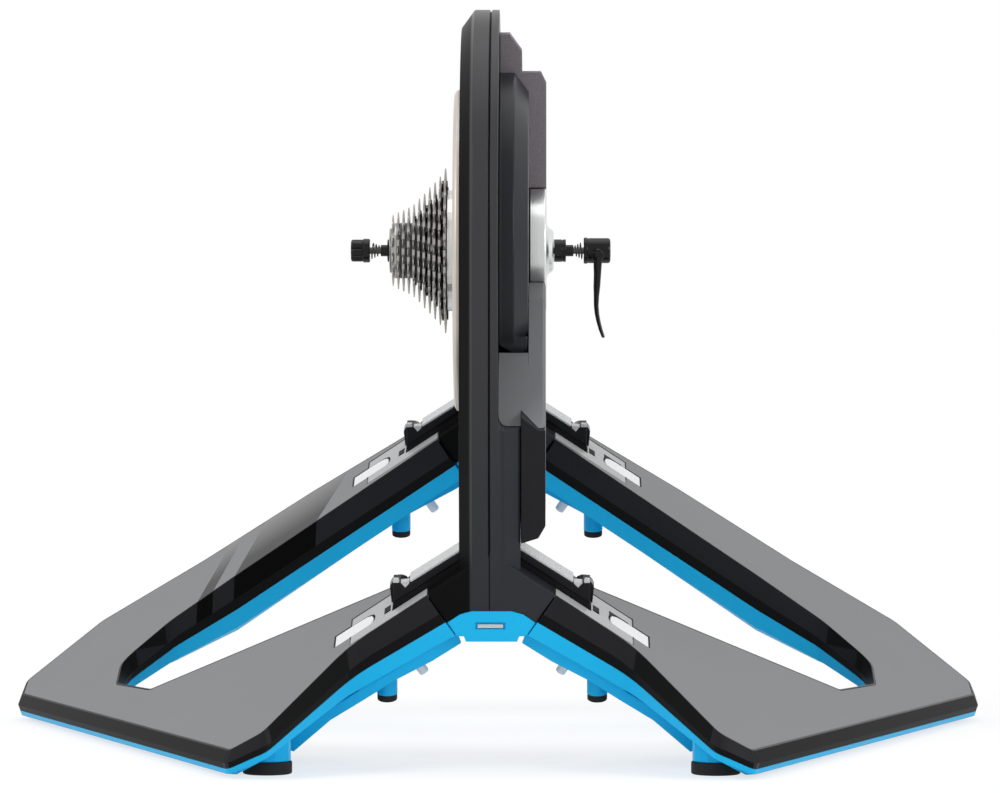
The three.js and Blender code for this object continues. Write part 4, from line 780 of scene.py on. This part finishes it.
wing_grey = moulded("wing_grey", 0.5, 0.02, *WING_TONES, (0.4, 0.5), Specular_IOR_Level=0.3)
left_grey = wrapped("wing_grey_with_film", WING_TONES, (tone(22, 22, 23), tone(134, 134, 135)), Specular_IOR_Level=0.3)
left_band = wrapped("band_black_with_film", BAND_TONES, (grey(0.002), grey(0.004)), soft_mm=1.0,
                    Specular_IOR_Level=0.12)
# Facets that face outward or down, which the attribute "under" picks out, are painted with shade: a darker, duller
# black.
for band in (band_black, left_band):
    under = band.add("ShaderNodeAttribute", {"attribute_name": "under"}, out="Fac")
    band.overlaid(under, Base_Color=grey(0.007), Roughness=0.45, Specular_IOR_Level=0.04)
LIPS = {
    "near": (-202.5, -199.5, [(24.6, -223.8), (86, -262.6), (112, -279.6), (146, -305), (146, -312), (140.6, -313.5),
                              (114.2, -289.8), (90.4, -274.6), (66.6, -259), (41.9, -245.5), (21.6, -232.2)]),
    "far": (177.5, 180.5, [(24.8, -225), (84, -264), (122, -291), (122, -293.4), (68.2, -258.4), (30.8, -237.6),
                           (22.5, -231.4)]),
}
WING_FALL = math.radians(34.1705)
SHADED_OUTWARD, SHADED_TURNED_UNDER = 0.8, -0.03
CORNER_FEET = {"near": (158, -138), "far": (338, 312)}
CORNER_FOOT = [(16.2, 0), (17.2, 0.5), (17.5, 1.6), (17.5, 8.2), (17.0, 9)]
on_floor = Matrix.Translation((0, hub.y, 0)) @ Matrix.Scale(MM, 4)
for side_name, way, grey_top, band in (("right", 1, wing_grey, band_black), ("left", -1, left_grey, left_band)):
    wing = side_name + "_wing"
    case = copied(wing + "_case", 0.3)
    top = standing.to_3x3() @ Vector((math.sin(WING_FALL) * way, 0, math.cos(WING_FALL)))
    top.normalize()
    # Painted shade: the band's facets that face outward or down are picked out for a darker, duller black.
    shade_marks = case.faces.layers.float.new("under")
    case.normal_update()
    for side in case.faces:
        side[shade_marks] = 1.0 if side.normal.x * way > SHADED_OUTWARD or side.normal.dot(top) < SHADED_TURNED_UNDER else 0.0
    show(wing + "_case_finished", case, band, wing, "band_black", wing + "_case", edge=1.0, turn=14)
    show(wing + "_skin_finished", copied(wing + "_skin", 0.3), grey_top, wing, "wing_grey", wing + "_skin", edge=0.4)
    lips = [stood(slab(section, front, back, way)) for front, back, section in LIPS.values()]
    show(wing + "_underside_finished", joined(copied(wing + "_underside", 0.3), *lips), blue_plastic, wing, "blue",
         wing + "_underside", edge=0.8, turn=20)
    for place, (x, y) in CORNER_FEET.items():
        foot = f"{place}_{side_name}_corner_foot"
        show(foot + "_finished", upright(CORNER_FOOT, way * x, y, on_floor), rubber, wing, "rubber", foot, edge=0.3)

# Lock plates: light grey bead-blasted plates with a black hinge ear, the steel pin through it, the white paddle
# that is pressed down to fold the wing, black blocks round them as painted shade in their gaps and holes, and the white
# stub of the lock under the wing.
plate_grey = moulded("plate_grey", 0.4, 0.02, tone(170, 171, 172), tone(184, 185, 186), (0.36, 0.46),
                     Specular_IOR_Level=0.3)
white_plastic = moulded("white_plastic", 0.6, 0.01, tone(232, 233, 235), tone(242, 243, 245), (0.3, 0.4))
# Places on a wing are millimetres down its slope from the hinge, along Y, and up from its top.
HINGE_X, HINGE_Z = 45.5, -195
slope = standing @ Matrix.Translation((HINGE_X, 0, HINGE_Z)) @ Matrix.Rotation(WING_FALL, 4, "Y")
# Each shade block's start and end down the slope, its two edges from the arm's middle, and its height: black blocks
# put as painted shade in the gaps round the plate and in its holes. They reach into the wing, and the plate's corner
# behind the paddle is cut out so that one of them shows there as painted shade.
SHADE_BLOCK_FOOT = -2.9
PLATE_CORNER, CORNER_LOW, CORNER_HIGH = (45.4, 62, -5, 7.4), -8, 2
SHADE_BLOCKS = ((30.2, 66.3, 20, 22.2, 0.12), (65.3, 66.4, 5.5, 22.2, 0.12), (65.3, 66.3, -21.5, -17.2, 0.12),
         (66.3, 80.4, 5.1, 7.2, 0.12), (79.3, 80.4, -17, 7.2, 0.12), (45.6, 61.8, -4.8, 7.3, -0.06),
         (31.4, 36.8, -12, -2.1, -0.3))
STUB_DOWN, STUB = 41, ((2.4, -56.2), (3.4, -55.6), (3.7, -54.4), (3.7, -32))
JUST_ABOVE = 0.02
for side_name, way in (("right", 1), ("left", -1)):
    for place, centre in ARM_CENTRES.items():
        name = f"{place}_{side_name}"
        wing = side_name + "_wing"
        on_wing = standing @ Matrix.Scale(way, 4, (1, 0, 0)) @ standing.inverted() @ slope
        start, end, front, back = PLATE_CORNER
        corner = block((start, centre + front, CORNER_LOW), (end, centre + back, CORNER_HIGH))
        plate = carved(copied(name + "_lock_plate"), stood(corner, on_wing))
        ear = plate.copy()
        top = (on_wing.to_3x3() @ Vector((0, 0, 1))).normalized()
        for part, above in ((plate, False), (ear, True)):
            bmesh.ops.bisect_plane(part, geom=[*part.verts, *part.edges, *part.faces], dist=1e-6,
                                   plane_co=on_wing @ Vector((0, 0, JUST_ABOVE)), plane_no=top,
                                   clear_inner=above, clear_outer=not above)
            bmesh.ops.holes_fill(part, edges=[e for e in part.edges if e.is_boundary])
        show(name + "_lock_plate_finished", plate, plate_grey, wing, "plate_grey", name + "_lock_plate", edge=0.3)
        show(name + "_hinge_ear", ear, black_steel, wing, "plate_grey", edge=0.3)
        # Painted shade: black blocks in the gaps and holes round the plate, where shade falls.
        shade_blocks = joined(*(block((start, centre + front, SHADE_BLOCK_FOOT), (end, centre + back, high))
                         for start, end, front, back, high in SHADE_BLOCKS))
        show(name + "_plate_shade_block", stood(shade_blocks, on_wing), rubber, wing, "rubber")
        show(name + "_lock_stub", upright(STUB, STUB_DOWN, centre, on_wing, 48), white_plastic, wing, "white", edge=0.2)
        show(name + "_release_paddle_finished", copied(name + "_release_paddle"), white_plastic, name + "_paddle",
             "white", name + "_release_paddle", edge=0.5)
        paint(ground_steel, name + "_hinge_pin")
